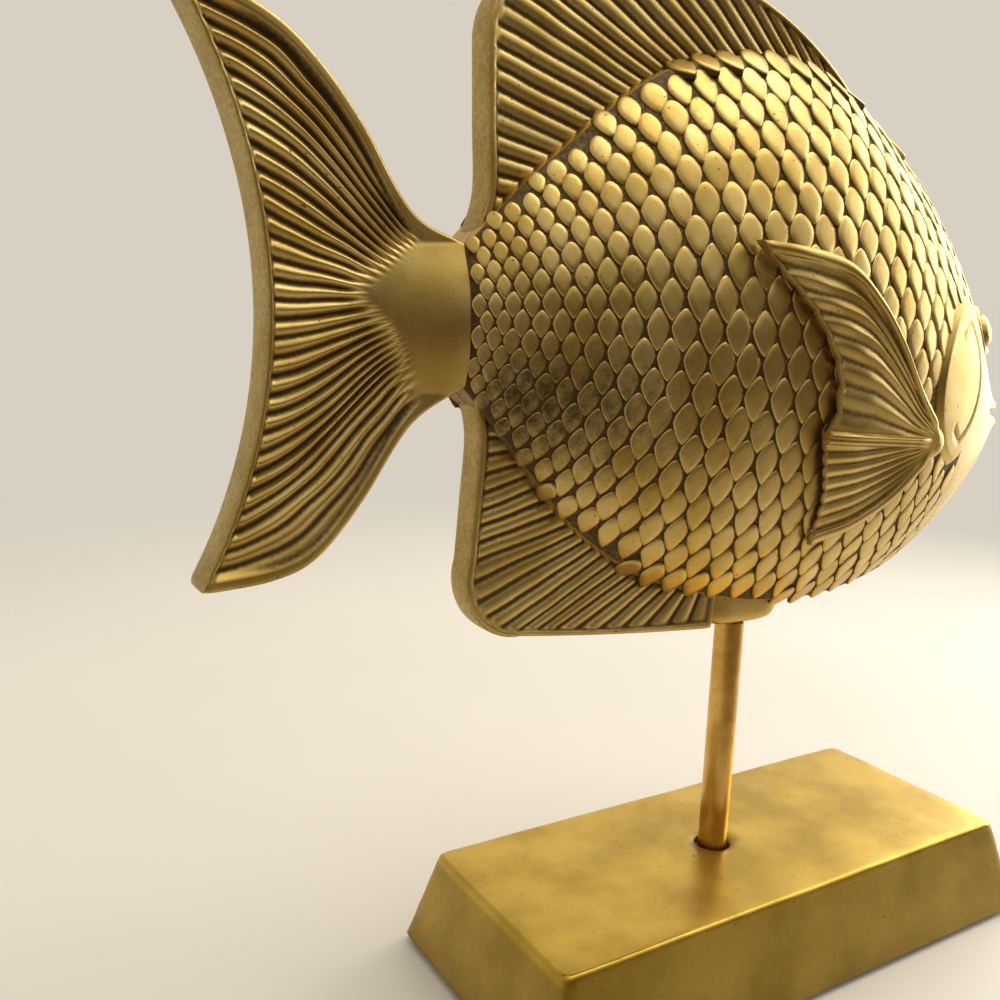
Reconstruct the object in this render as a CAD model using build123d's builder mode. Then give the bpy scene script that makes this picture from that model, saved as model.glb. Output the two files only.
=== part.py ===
"""A brass fish on a post and a bevelled base. Lengths are millimetres.

The post's axis is X = 0, Y = 0 and the table is Z = 0. The fish faces +X and its middle plane is Y = 0.
"""
import math
import os

from build123d import *

# Base: a bevelled block that is hollow underneath, with a felt pad over the hollow
base_height = 27.7  # table to top face
base_top_length = 160
base_top_width = 61.5
base_end_lean = 6.2  # how far each end runs out towards the bottom
base_side_lean = 7.0
base_shift = 7  # centre of the base ahead of the post
base_edge_radius = 2.0
base_wall = 5
base_roof = 6
felt_thickness = 1.5
felt_inset = 3
felt_corner_radius = 4

# Post: a round rod with a threaded stud at its foot and a plain stud at its top, on which the fish turns
post_diameter = 8
post_length = 66  # between the base's top and the belly
post_seat_depth = 2  # how far the foot is let into the base
post_seat_gap = 1.0  # round the foot
stud_diameter = 6
stud_chamfer = 0.6
upper_stud_length = 13
turning_clearance = 0.05  # boss on the upper stud
hole_clearance = 0.2  # lower stud in the base's hole
thread_clearance = 0.02  # lower stud in nut and washers
stud_past_nut = 2

# Fasteners under the base's roof
washer_diameter = 12
washer_thickness = 1.6
spring_washer_diameter = 11
spring_washer_thickness = 1.6
spring_washer_split = 1.2
nut_across_flats = 10
nut_height = 5

# Belly boss: the lump that takes the post's upper stud
boss_behind_post = 12
boss_ahead_of_post = 15
boss_width = 10
boss_height = 22
boss_drop = 5.7  # boss's foot below the belly
boss_edge_radius = 3

# Body: two cast halves that meet on the middle plane
body_rear = 90  # tail root behind the post
body_front = 100  # lips ahead of the post
back_height = 66  # back over the long axis
belly_depth = 72.5  # belly below the long axis
flank = 30.5  # half of the body's thickness
keel = 6  # half width of the edge along back and belly
wall = 3.5
keel_wall = 7
scale_pitch = 11
scale_gap = 1.2
scale_relief = 0.8
scale_margin = 8  # centres of the outermost scales from the body's edge

# Tail fin
tail_upper_length = 59  # upper tip behind the tail root
tail_lower_length = 55.5
tail_rise = 59  # upper tip over the long axis
tail_drop = 54.5  # lower tip below it
tail_fork_length = 42.3  # bottom of the fork behind the tail root
tail_fork_drop = 6  # and below the long axis
tail_thickness = 10
tail_tenon_length = 10
tail_tenon_height = 15
tail_saddle_length = 26
tail_rays = 15
tail_groove_depth = 1.8

# Dorsal and anal fins
fin_thickness = 8
fin_tongue = 5  # how deep the fins are let into the body
dorsal_setback = 5  # rear edge ahead of the tail root
dorsal_height = 82.5  # crest over the long axis
dorsal_crest = 28  # crest behind the post
dorsal_rear_height = 58  # where the rear edge turns into the corner
dorsal_corner = 17
anal_setback = 4.4  # rear edge ahead of the tail root
anal_depth = 54  # where the rear edge turns into the corner
anal_corner = 18.5

# Pectoral fins: two-lobed fans that stand off the flanks
pectoral_root_x = 34
pectoral_root_drop = 26  # below the long axis
pectoral_reach = 63.5  # root to upper tip
pectoral_upper = 46.5  # upper tip over the root
pectoral_lower = 27.5  # lower tip below the root
pectoral_gap = 2
pectoral_thickness = 3.5
pectoral_knob = 4.6  # radius of the root's swelling
pectoral_peg_diameter = 6
pectoral_peg_length = 12  # from the knob's centre into the hollow

# Head
gill_relief = 1.2
gill_rear = 39
gill_front = 70
gill_top = 12
gill_drop = 34
eye_x = 74
eye_height = 3
eye_radius = 7
pupil_radius = 4
pupil_relief = 3
mouth_drop = 22
mouth_depth = 13
mouth_gape = 2.4

base_bottom_length = base_top_length + 2 * base_end_lean
base_bottom_width = base_top_width + 2 * base_side_lean
roof_underside = base_height - base_roof
post_foot = base_height - post_seat_depth
post_top = base_height + post_length
stud_radius = stud_diameter / 2
thread_radius = stud_radius + thread_clearance
spring_washer_top = roof_underside - washer_thickness
nut_top = spring_washer_top - spring_washer_thickness
stud_bottom = nut_top - nut_height - stud_past_nut
axis_above_post = belly_depth + boss_drop
axis_height = post_top + axis_above_post
body_length = body_rear + body_front

# The body's shape from tail root to lips, each as a share of its largest size:
# place along the body, back, belly, half thickness and half width of the edge
body_shape = [
    (0.0, 0.23, 0.19, 0.30, 0.9),
    (0.063, 0.42, 0.36, 0.45, 1.0),
    (0.147, 0.63, 0.61, 0.64, 1.0),
    (0.253, 0.86, 0.81, 0.82, 1.0),
    (0.379, 0.98, 0.93, 0.95, 1.0),
    (0.526, 1.0, 1.0, 1.0, 1.0),
    (0.663, 0.83, 0.99, 0.96, 0.9),
    (0.779, 0.59, 0.91, 0.82, 0.8),
    (0.868, 0.31, 0.78, 0.62, 0.7),
    (0.937, 0.01, 0.62, 0.43, 0.6),
    (0.979, -0.18, 0.46, 0.29, 0.5),
    (1.0, -0.26, 0.37, 0.18, 0.4),
]
cavity_shape = body_shape[1:-2]
dorsal_stations = body_shape[1:7]
anal_stations = body_shape[1:4]

fish_plane = Plane(origin=(0, 0, axis_height), x_dir=(1, 0, 0), z_dir=(0, -1, 0))


def station_x(along):
    return along * body_length - body_rear


def body_sections(shape, grow=0.0, keel_grow=0.0):
    """The body's cross-sections, grown outwards on the flanks and at the edges."""
    sections = []
    for along, back, belly, side, edge in shape:
        top = back * back_height + keel_grow
        bottom = -belly * belly_depth - keel_grow
        half_edge = edge * keel
        half_side = side * flank + grow
        middle = (top + bottom) / 2
        station = Plane(origin=(station_x(along), 0, axis_height), x_dir=(0, 1, 0), z_dir=(1, 0, 0))
        with BuildSketch(station) as section:
            with BuildLine():
                Line((half_edge, top), (-half_edge, top))
                ThreePointArc((-half_edge, top), (-half_side, middle), (-half_edge, bottom))
                Line((-half_edge, bottom), (half_edge, bottom))
                ThreePointArc((half_edge, bottom), (half_side, middle), (half_edge, top))
            make_face()
        sections.append(section.sketch)
    return sections


def body_edges(x):
    """Heights of back and belly over the long axis at a place along the body."""
    for row, following in zip(body_shape, body_shape[1:]):
        share = (x - station_x(row[0])) / (station_x(following[0]) - station_x(row[0]))
        if share <= 1:
            break
    top = (row[1] + share * (following[1] - row[1])) * back_height
    bottom = -(row[2] + share * (following[2] - row[2])) * belly_depth
    return top, bottom


# Base
base_centre = (base_shift, 0)
with BuildPart() as base_casting:
    with BuildSketch(Plane.XY.offset(felt_thickness)):
        with Locations(base_centre):
            Rectangle(base_bottom_length, base_bottom_width)
    with BuildSketch(Plane.XY.offset(base_height)):
        with Locations(base_centre):
            Rectangle(base_top_length, base_top_width)
    loft(ruled=True)
    fillet(base_casting.edges().group_by(Axis.Z)[1:], radius=base_edge_radius)
    with BuildSketch(Plane.XY.offset(felt_thickness)):
        with Locations(base_centre):
            Rectangle(base_bottom_length - 2 * base_wall, base_bottom_width - 2 * base_wall)
    with BuildSketch(Plane.XY.offset(roof_underside)):
        with Locations(base_centre):
            Rectangle(base_top_length - 2 * base_wall, base_top_width - 2 * base_wall)
    loft(ruled=True, mode=Mode.SUBTRACT)
    with Locations((0, 0, base_height)):
        CounterBoreHole(
            radius=stud_radius + hole_clearance,
            counter_bore_radius=post_diameter / 2 + post_seat_gap,
            counter_bore_depth=post_seat_depth,
            depth=2 * base_roof,
        )

with BuildPart() as felt_pad:
    with BuildSketch():
        with Locations(base_centre):
            RectangleRounded(
                base_bottom_length - 2 * felt_inset, base_bottom_width - 2 * felt_inset, felt_corner_radius
            )
    extrude(amount=felt_thickness)

# Post and its fasteners
with BuildPart() as post:
    with BuildSketch(Plane.XY.offset(stud_bottom)):
        Circle(stud_radius)
    extrude(amount=post_top + upper_stud_length - stud_bottom)
    chamfer(post.edges().filter_by(GeomType.CIRCLE), length=stud_chamfer)
    with BuildSketch(Plane.XY.offset(post_foot)):
        Circle(post_diameter / 2)
    extrude(amount=post_top - post_foot)

with BuildPart() as plain_washer:
    with BuildSketch(Plane.XY.offset(roof_underside)):
        Circle(washer_diameter / 2)
        Circle(thread_radius, mode=Mode.SUBTRACT)
    extrude(amount=-washer_thickness)

with BuildPart() as spring_washer:
    with BuildSketch(Plane.XY.offset(spring_washer_top)):
        Circle(spring_washer_diameter / 2)
        Circle(thread_radius, mode=Mode.SUBTRACT)
        with Locations((spring_washer_diameter / 2, 0)):
            Rectangle(spring_washer_diameter, spring_washer_split, mode=Mode.SUBTRACT)
    extrude(amount=-spring_washer_thickness)

with BuildPart() as hex_nut:
    with BuildSketch(Plane.XY.offset(nut_top)):
        RegularPolygon(radius=nut_across_flats / 2, side_count=6, major_radius=False)
        Circle(thread_radius, mode=Mode.SUBTRACT)
    extrude(amount=-nut_height)

# Belly boss
with BuildPart() as boss_block:
    with BuildSketch(Plane.XY.offset(post_top)):
        with Locations(((boss_ahead_of_post - boss_behind_post) / 2, 0)):
            Rectangle(boss_ahead_of_post + boss_behind_post, boss_width)
    extrude(amount=boss_height)
    fillet(boss_block.edges().filter_by(Axis.Z), radius=boss_edge_radius)
    fillet(boss_block.edges().group_by(Axis.Z)[0], radius=boss_edge_radius * 0.8)

with BuildPart() as belly_boss:
    add(boss_block.part)
    with Locations(Plane(origin=(0, 0, post_top), z_dir=(0, 0, -1))):
        Hole(radius=stud_radius + turning_clearance, depth=upper_stud_length + stud_chamfer)

# Tail fin: a forked fan, a rounded saddle where it leaves the body, and a tenon inside the body
root_top = body_shape[0][1] * back_height
root_bottom = -body_shape[0][2] * belly_depth
root_half_side = body_shape[0][3] * flank
tail_upper_shape = [(0.21, 0.365), (0.405, 0.64), (0.575, 0.825), (0.735, 0.93), (1.0, 1.0)]
tail_lower_shape = [(0.21, 0.41), (0.405, 0.70), (0.575, 0.90), (0.735, 0.975), (1.0, 1.0)]
upper_edge = [(-body_rear - along * tail_upper_length, rise * tail_rise) for along, rise in tail_upper_shape]
lower_edge = [(-body_rear - along * tail_lower_length, -fall * tail_drop) for along, fall in tail_lower_shape]


def tail_line(share):
    """A line of the tail's fan, between its upper edge at 0 and its lower edge at 1."""
    return [
        (up[0] + share * (low[0] - up[0]), up[1] + share * (low[1] - up[1]))
        for up, low in zip(upper_edge, lower_edge)
    ]


# Grooves between the tail's rays, open at the fork and ending at the saddle
with BuildPart() as tail_grooves:
    with BuildSketch(fish_plane.offset(tail_thickness / 2 - tail_groove_depth)):
        for ray in range(1, tail_rays):
            upper_side = tail_line((ray - 0.25) / tail_rays)
            lower_side = tail_line((ray + 0.25) / tail_rays)
            with BuildLine():
                Spline(*upper_side)
                Line(upper_side[-1], lower_side[-1])
                Spline(*lower_side)
                Line(lower_side[0], upper_side[0])
            make_face()
        with Locations((-body_rear, 0)):
            Ellipse(tail_saddle_length, 1.6 * root_top, mode=Mode.SUBTRACT)
    extrude(amount=tail_thickness)
    mirror(about=Plane.XZ)

with BuildPart() as tail_fin:
    with BuildSketch(fish_plane):
        with BuildLine():
            Spline((-body_rear, root_top), *upper_edge)
            ThreePointArc(upper_edge[-1], (-body_rear - tail_fork_length, -tail_fork_drop), lower_edge[-1])
            Spline((-body_rear, root_bottom), *lower_edge)
            Line((-body_rear, root_bottom), (-body_rear, root_top))
        make_face()
    extrude(amount=tail_thickness / 2, both=True)
    saddle_ends = [(0, 1.0, root_half_side), (0.45, 0.95, root_half_side * 0.8), (1.0, 0.9, tail_thickness * 0.3)]
    for along, height_share, half_side in saddle_ends:
        saddle_origin = (-body_rear - along * tail_saddle_length, 0, axis_height)
        with BuildSketch(Plane(origin=saddle_origin, x_dir=(0, 1, 0), z_dir=(1, 0, 0))):
            Ellipse(half_side, height_share * root_top)
    loft()
    with BuildSketch(fish_plane):
        with Locations((-body_rear + tail_tenon_length / 2, 0)):
            Rectangle(tail_tenon_length, tail_tenon_height)
    extrude(amount=tail_thickness / 2, both=True)
    add(tail_grooves.part, mode=Mode.SUBTRACT)

# Dorsal fin: its root follows the back, let into the edge where the body halves meet
dorsal_root = [(station_x(row[0]), row[1] * back_height - fin_tongue) for row in dorsal_stations]
dorsal_rear = dorsal_setback - body_rear
dorsal_corner_start = (dorsal_rear, dorsal_rear_height)
dorsal_corner_end = (dorsal_rear + 0.9 * dorsal_corner, dorsal_rear_height + dorsal_corner)
dorsal_corner_middle = (dorsal_rear + 0.25 * dorsal_corner, dorsal_rear_height + 0.7 * dorsal_corner)
dorsal_foot = (dorsal_rear - 0.4 * dorsal_setback, root_top)
dorsal_heel = (dorsal_rear + 0.3 * dorsal_setback, root_top - fin_tongue)
dorsal_waist = (dorsal_rear + 0.4 * dorsal_setback, root_top + 0.2 * dorsal_rear_height)
dorsal_tip = (dorsal_root[-1][0], dorsal_root[-1][1] + 0.5 * fin_tongue)
with BuildPart() as dorsal_fin:
    with BuildSketch(fish_plane):
        with BuildLine():
            Polyline(dorsal_root[0], dorsal_heel, dorsal_foot)
            Spline(dorsal_foot, dorsal_waist, dorsal_corner_start, tangents=[(1, 1), (-0.1, 1)])
            ThreePointArc(dorsal_corner_start, dorsal_corner_middle, dorsal_corner_end)
            ThreePointArc(dorsal_corner_end, (-dorsal_crest, dorsal_height), dorsal_tip)
            Line(dorsal_tip, dorsal_root[-1])
            Spline(*dorsal_root)
        make_face()
    extrude(amount=fin_thickness / 2, both=True)
    add(tail_fin.part, mode=Mode.SUBTRACT)

# Anal fin: its front end meets the belly boss
anal_root = [(station_x(row[0]), fin_tongue - row[2] * belly_depth) for row in anal_stations]
boss_rear_top = (-boss_behind_post, fin_tongue - 0.95 * belly_depth)
boss_rear_bottom = (-boss_behind_post, -axis_above_post)
anal_rear = anal_setback - body_rear
anal_corner_start = (anal_rear, -anal_depth)
anal_edge_middle = (0.4 * anal_rear, -axis_above_post + 0.1 * anal_corner)
anal_corner_end = (anal_rear + 0.8 * anal_corner, -anal_depth - anal_corner)
anal_corner_middle = (anal_rear + 0.16 * anal_corner, -anal_depth - 0.74 * anal_corner)
anal_foot = (anal_rear - 0.5 * anal_setback, root_bottom)
anal_heel = (anal_rear + 0.3 * anal_setback, root_bottom + fin_tongue)
anal_waist = (anal_rear + 0.5 * anal_setback, root_bottom - 0.2 * anal_depth)
with BuildPart() as anal_fin:
    with BuildSketch(fish_plane):
        with BuildLine():
            Polyline(anal_root[0], anal_heel, anal_foot)
            Spline(anal_foot, anal_waist, anal_corner_start, tangents=[(1, -1), (-0.1, -1)])
            ThreePointArc(anal_corner_start, anal_corner_middle, anal_corner_end)
            ThreePointArc(anal_corner_end, anal_edge_middle, boss_rear_bottom)
            Line(boss_rear_bottom, boss_rear_top)
            Spline(*anal_root, boss_rear_top)
        make_face()
    extrude(amount=fin_thickness / 2, both=True)
    add(boss_block.part, mode=Mode.SUBTRACT)
    add(tail_fin.part, mode=Mode.SUBTRACT)

# Pectoral fins: a curved plate that follows the flank at a distance, with a knob and a peg at its root
root_x = pectoral_root_x
root_z = -pectoral_root_drop
leading_shape = [(0.06, 0.12), (0.205, 0.325), (0.48, 0.77), (0.65, 0.925), (1.0, 1.0)]
trailing_shape = [(1.0, 1.0), (0.75, 0.685), (0.59, 0.36), (0.567, 0.15), (0.61, 0.03)]
lower_lobe_shape = [(0.61, 0.03), (0.495, 0.51), (0.443, 1.0)]
leading_edge = [(root_x - along * pectoral_reach, root_z + up * pectoral_upper) for along, up in leading_shape]
trailing_edge = [(root_x - along * pectoral_reach, root_z + up * pectoral_upper) for along, up in trailing_shape]
lower_rear = [(root_x - along * pectoral_reach, root_z - down * pectoral_lower) for along, down in lower_lobe_shape]
lower_middle = (root_x - 0.2 * pectoral_reach, root_z - 0.68 * pectoral_lower)
root_ahead = (root_x + 0.6 * pectoral_knob, root_z)
with BuildPart() as near_pectoral_fin:
    loft(body_sections(body_shape, pectoral_gap + pectoral_thickness))
    loft(body_sections(body_shape, pectoral_gap), mode=Mode.SUBTRACT)
    with BuildSketch(fish_plane):
        with BuildLine():
            Spline(root_ahead, *leading_edge)
            Spline(*trailing_edge)
            Line(trailing_edge[-1], lower_rear[0])
            ThreePointArc(*lower_rear)
            ThreePointArc(lower_rear[-1], lower_middle, root_ahead)
        make_face()
    extrude(amount=2 * flank, mode=Mode.INTERSECT)
    with BuildSketch(fish_plane.offset(flank - pectoral_peg_length)):
        with Locations((root_x, root_z)):
            Circle(pectoral_peg_diameter / 2)
    extrude(amount=pectoral_peg_length + pectoral_gap)
    with Locations((root_x, -flank, axis_height + root_z)):
        Sphere(pectoral_knob)

with BuildPart() as far_pectoral_fin:
    mirror(near_pectoral_fin.part, about=Plane.XZ)

# Raised gill cover and eye of the near side, cast on with the shell
with BuildPart() as near_relief:
    loft(body_sections(body_shape, gill_relief))
    with BuildSketch(fish_plane):
        with BuildLine():
            gill_length = gill_front - gill_rear
            gill_upper = (gill_rear + 0.58 * gill_length, gill_top)
            gill_lower = (gill_rear + 0.51 * gill_length, -gill_drop)
            gill_middle = (gill_top - gill_drop) / 2
            ThreePointArc(gill_upper, (gill_rear, gill_middle), gill_lower)
            ThreePointArc(gill_lower, (gill_front, gill_middle), gill_upper)
        make_face()
        with Locations((eye_x, eye_height)):
            Circle(eye_radius)
    extrude(amount=2 * flank, mode=Mode.INTERSECT)

with BuildPart() as near_pupil:
    loft(body_sections(body_shape, pupil_relief))
    with BuildSketch(fish_plane):
        with Locations((eye_x, eye_height)):
            Circle(pupil_radius)
    extrude(amount=2 * flank, mode=Mode.INTERSECT)

# Scales of the near side: round plates in staggered columns, clear of the gill cover and the body's edge
scale_column = scale_pitch * math.sqrt(3) / 2
scale_rear = scale_margin - body_rear
scale_centres = []
for column in range(int((gill_front - scale_margin - scale_rear) / scale_column) + 1):
    x = scale_rear + column * scale_column
    top, bottom = body_edges(x)
    start = (column % 2) / 2
    lowest = math.ceil((bottom + scale_margin) / scale_pitch - start)
    highest = math.floor((top - scale_margin) / scale_pitch - start)
    for row in range(lowest, highest + 1):
        z = (row + start) * scale_pitch
        beside_gill = -gill_drop - scale_pitch / 2 < z < gill_top + scale_pitch / 2
        if x < gill_rear - scale_pitch / 2 or not beside_gill:
            scale_centres.append((x, z))

with BuildPart() as near_scales:
    loft(body_sections(body_shape, scale_relief, scale_relief))
    with BuildSketch(fish_plane):
        with Locations(*scale_centres):
            Circle((scale_pitch - scale_gap) / 2)
    extrude(amount=2 * flank, mode=Mode.INTERSECT)

# Body shells
with BuildPart() as near_body_shell:
    loft(body_sections(body_shape))
    add(near_scales.part)
    add(near_relief.part)
    add(near_pupil.part)
    loft(body_sections(cavity_shape, -wall, -keel_wall), mode=Mode.SUBTRACT)
    with BuildSketch(fish_plane):
        with BuildLine():
            Polyline(
                (body_front + mouth_gape, mouth_gape / 2 - mouth_drop),
                (body_front - mouth_depth, -mouth_drop),
                (body_front + mouth_gape, -mouth_gape / 2 - mouth_drop),
                close=True,
            )
        make_face()
    extrude(amount=flank, both=True, mode=Mode.SUBTRACT)
    split(bisect_by=Plane.XZ, keep=Keep.TOP)
    for let_in in (tail_fin, dorsal_fin, anal_fin, boss_block, near_pectoral_fin):
        add(let_in.part, mode=Mode.SUBTRACT)

with BuildPart() as far_body_shell:
    mirror(near_body_shell.part, about=Plane.XZ)

pieces = {
    "near_body_shell": near_body_shell,
    "far_body_shell": far_body_shell,
    "tail_fin": tail_fin,
    "dorsal_fin": dorsal_fin,
    "anal_fin": anal_fin,
    "near_pectoral_fin": near_pectoral_fin,
    "far_pectoral_fin": far_pectoral_fin,
    "belly_boss": belly_boss,
    "post": post,
    "base_casting": base_casting,
    "plain_washer": plain_washer,
    "spring_washer": spring_washer,
    "hex_nut": hex_nut,
    "felt_pad": felt_pad,
}
os.makedirs("parts", exist_ok=True)
for name, piece in pieces.items():
    piece.part.label = name
    export_step(piece.part, f"parts/{name}.step")
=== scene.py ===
import bmesh
import bpy
import numpy as np
from mathutils import Matrix, Vector


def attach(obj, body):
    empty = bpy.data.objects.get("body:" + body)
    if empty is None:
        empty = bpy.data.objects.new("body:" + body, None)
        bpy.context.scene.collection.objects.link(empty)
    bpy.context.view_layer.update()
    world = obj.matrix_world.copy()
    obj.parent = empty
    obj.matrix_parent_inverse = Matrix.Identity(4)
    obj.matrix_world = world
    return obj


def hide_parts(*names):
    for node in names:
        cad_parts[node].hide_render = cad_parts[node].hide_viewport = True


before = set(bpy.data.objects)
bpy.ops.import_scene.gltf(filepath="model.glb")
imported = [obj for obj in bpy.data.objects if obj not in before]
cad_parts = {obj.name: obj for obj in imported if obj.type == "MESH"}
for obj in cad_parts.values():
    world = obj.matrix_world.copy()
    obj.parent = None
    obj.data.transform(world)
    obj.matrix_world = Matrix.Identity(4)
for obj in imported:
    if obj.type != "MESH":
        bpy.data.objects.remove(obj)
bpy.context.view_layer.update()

MM = 0.001  # sizes below are millimetres, Blender works in metres

# Sizes of the part that the pieces follow. Heights of the fish count from its long axis.
AXIS = 171.9
REAR, FRONT, BACK, BELLY, FLANK, KEEL = 90.0, 100.0, 66.0, 72.5, 30.5, 6.0
BASE_HEIGHT, BASE_LENGTH, BASE_WIDTH = 27.7, 160.0, 61.5
BASE_END_LEAN, BASE_SIDE_LEAN, BASE_SHIFT, BASE_WALL, BASE_ROOF = 6.2, 7.0, 7.0, 5.0, 6.0
FELT, FELT_INSET, FELT_CORNER = 1.5, 3.0, 4.0
POST_RADIUS, POST_TOP, POST_FOOT, STUD_RADIUS = 4.0, 93.7, 25.7, 3.0
STUD_BOTTOM, STUD_TOP, STUD_CHAMFER, SEAT_RADIUS, HOLE_RADIUS = 11.5, 106.7, 0.6, 5.0, 3.2

# The body from tail root to lips: place along it, then shares of back, belly, flank and keel
BODY = np.array([
    (0.0, 0.23, 0.19, 0.30, 0.9),
    (0.063, 0.42, 0.36, 0.45, 1.0),
    (0.147, 0.63, 0.61, 0.64, 1.0),
    (0.253, 0.86, 0.81, 0.82, 1.0),
    (0.379, 0.98, 0.93, 0.95, 1.0),
    (0.526, 1.0, 1.0, 1.0, 1.0),
    (0.663, 0.83, 0.99, 0.96, 0.9),
    (0.779, 0.59, 0.91, 0.82, 0.8),
    (0.868, 0.31, 0.78, 0.62, 0.7),
    (0.937, 0.01, 0.62, 0.43, 0.6),
    (0.979, -0.18, 0.46, 0.29, 0.5),
    (1.0, -0.26, 0.37, 0.18, 0.4),
])


def linear(code, alpha=1.0):
    """An sRGB hex colour as the linear RGBA that sockets take."""
    parts = [int(code[i:i + 2], 16) / 255 for i in (1, 3, 5)]
    return (*[c / 12.92 if c <= 0.04045 else ((c + 0.055) / 1.055) ** 2.4 for c in parts], alpha)


def add_node(tree, kind, inputs=None, **settings):
    """Adds a node, sets its properties, then sets or links its inputs by name or number."""
    made = tree.nodes.new(kind)
    for key, value in settings.items():
        setattr(made, key, value)
    for key, value in (inputs or {}).items():
        if isinstance(value, bpy.types.NodeSocket):
            tree.links.new(value, made.inputs[key])
        else:
            made.inputs[key].default_value = value
    return made


def math(tree, operation, *values):
    """The result of a math node on sockets or numbers."""
    return add_node(tree, "ShaderNodeMath", dict(enumerate(values)), operation=operation).outputs[0]


def vector_math(tree, operation, *values):
    """The result of a vector math node on two sockets or vectors."""
    return add_node(tree, "ShaderNodeVectorMath", dict(enumerate(values)), operation=operation).outputs[0]


def ramp(tree, value, low, high, start=0.0, end=1.0, kind="LINEAR"):
    """A value carried from the range low to high over to the range start to end."""
    ends = {"Value": value, "From Min": low, "From Max": high, "To Min": start, "To Max": end}
    return add_node(tree, "ShaderNodeMapRange", ends, interpolation_type=kind).outputs[0]


def noise(tree, place, size_mm, detail):
    """Noise whose features are about size_mm wide."""
    settings = {"Vector": place, "Scale": 1 / (size_mm * MM), "Detail": detail}
    return add_node(tree, "ShaderNodeTexNoise", settings).outputs[0]


def mixed(tree, factor, first, second):
    """A colour mix: the node has its factor at input 0, its colours at 6 and 7 and its result at output 2."""
    return add_node(tree, "ShaderNodeMix", {0: factor, 6: first, 7: second}, data_type="RGBA").outputs[2]


def attribute(tree, label, kind="FLOAT"):
    """A named value of the geometry."""
    return add_node(tree, "GeometryNodeInputNamedAttribute", {"Name": label}, data_type=kind).outputs[0]


def smoothstep(low, high, value):
    t = np.clip((np.asarray(value, float) - low) / (high - low), 0, 1)
    return t * t * (3 - 2 * t)


def smooth_curve(knots, values, at):
    """A cubic curve through values, one row for each knot, read at the places in at."""
    knots, values, at = np.asarray(knots, float), np.asarray(values, float), np.asarray(at, float)
    slopes = np.gradient(values, knots, axis=0)
    i = np.clip(np.searchsorted(knots, at) - 1, 0, len(knots) - 2)
    span = (knots[i + 1] - knots[i])[..., None]
    t = (at[..., None] - knots[i][..., None]) / span
    return (
        (2 * t**3 - 3 * t**2 + 1) * values[i]
        + (t**3 - 2 * t**2 + t) * span * slopes[i]
        + (3 * t**2 - 2 * t**3) * values[i + 1]
        + (t**3 - t**2) * span * slopes[i + 1]
    )


def resample(points, count, at=None):
    """Points spread evenly, or at the given shares of the length, along a polyline."""
    points = np.asarray(points, float)
    length = np.concatenate([[0], np.cumsum(np.linalg.norm(np.diff(points, axis=0), axis=1))])
    at = np.linspace(0, 1, count) if at is None else np.asarray(at)
    return np.stack([np.interp(at * length[-1], length, column) for column in points.T], axis=-1)


def arc_through(a, b, c, count=40):
    """Points on the circle from a through b to c, in a plane."""
    a, b, c = (np.asarray(p, float) for p in (a, b, c))
    m = 2 * np.array([b - a, c - a])
    centre = np.linalg.solve(m, [b @ b - a @ a, c @ c - a @ a])
    turn = [np.arctan2(*(p - centre)[::-1]) for p in (a, b, c)]
    way = (turn[1] - turn[0]) % (2 * np.pi) < (turn[2] - turn[0]) % (2 * np.pi)
    sweep = (turn[2] - turn[0]) % (2 * np.pi) - (0 if way else 2 * np.pi)
    angle = turn[0] + np.linspace(0, 1, count) * sweep
    radius = np.linalg.norm(a - centre)
    return centre + radius * np.stack([np.cos(angle), np.sin(angle)], axis=-1)


def body_at(x):
    """Back, belly, half thickness and half width of the edge at x."""
    row = smooth_curve(BODY[:, 0], BODY[:, 1:] * (BACK, -BELLY, FLANK, KEEL), (x + REAR) / (REAR + FRONT))
    return np.moveaxis(row, -1, 0)


def flank_at(x, z, grow=0.0):
    """Half thickness of the body at x and z."""
    top, bottom, side, edge = body_at(np.asarray(x, float))
    half = (top - bottom) / 2
    sag = side + grow - edge
    radius = (half**2 + sag**2) / (2 * sag)
    off = np.clip(np.abs(z - (top + bottom) / 2), 0, half)
    return side + grow - radius + np.sqrt(radius**2 - off**2)


def make_piece(name, points, faces, values=None, smooth=True):
    """A mesh object at the origin from points in millimetres, with named values at its points."""
    mesh = bpy.data.meshes.new(name)
    mesh.from_pydata((np.asarray(points, float) * MM).tolist(), [], [tuple(map(int, f)) for f in faces])
    for key, value in (values or {}).items():
        value = np.asarray(value, np.float32)
        if value.ndim == 2:
            mesh.attributes.new(key, "FLOAT_VECTOR", "POINT").data.foreach_set("vector", value.ravel())
        else:
            mesh.attributes.new(key, "FLOAT", "POINT").data.foreach_set("value", value)
    mesh.shade_smooth() if smooth else mesh.shade_flat()
    made = bpy.data.objects.new(name, mesh)
    bpy.context.scene.collection.objects.link(made)
    return made


def grid_faces(rows, columns, start=0, closed=False):
    """Quads of a grid of points that are stored row by row; closed joins the last column to the first."""
    r, c = np.meshgrid(np.arange(rows - 1), np.arange(columns if closed else columns - 1), indexing="ij")
    a = start + r * columns + c
    b = start + r * columns + (c + 1) % columns
    return np.stack([a, b, b + columns, a + columns], axis=-1).reshape(-1, 4)


def dress(piece, node, body, finish):
    """The piece stands for a node, moves with its body and wears one finish."""
    piece.data.materials.clear()
    piece.data.materials.append(finish)
    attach(piece, body)
    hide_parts(node)


def face_outwards(piece):
    work = bmesh.new()
    work.from_mesh(piece.data)
    bmesh.ops.recalc_face_normals(work, faces=work.faces)
    work.to_mesh(piece.data)
    work.free()
    return piece


def mirrored(piece, name):
    """A copy of a piece on the other side of the fish's middle plane."""
    mesh = piece.data.copy()
    mesh.name = name
    mesh.transform(Matrix.Diagonal((1, -1, 1, 1)))
    mesh.flip_normals()
    made = bpy.data.objects.new(name, mesh)
    bpy.context.scene.collection.objects.link(made)
    return made


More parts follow.
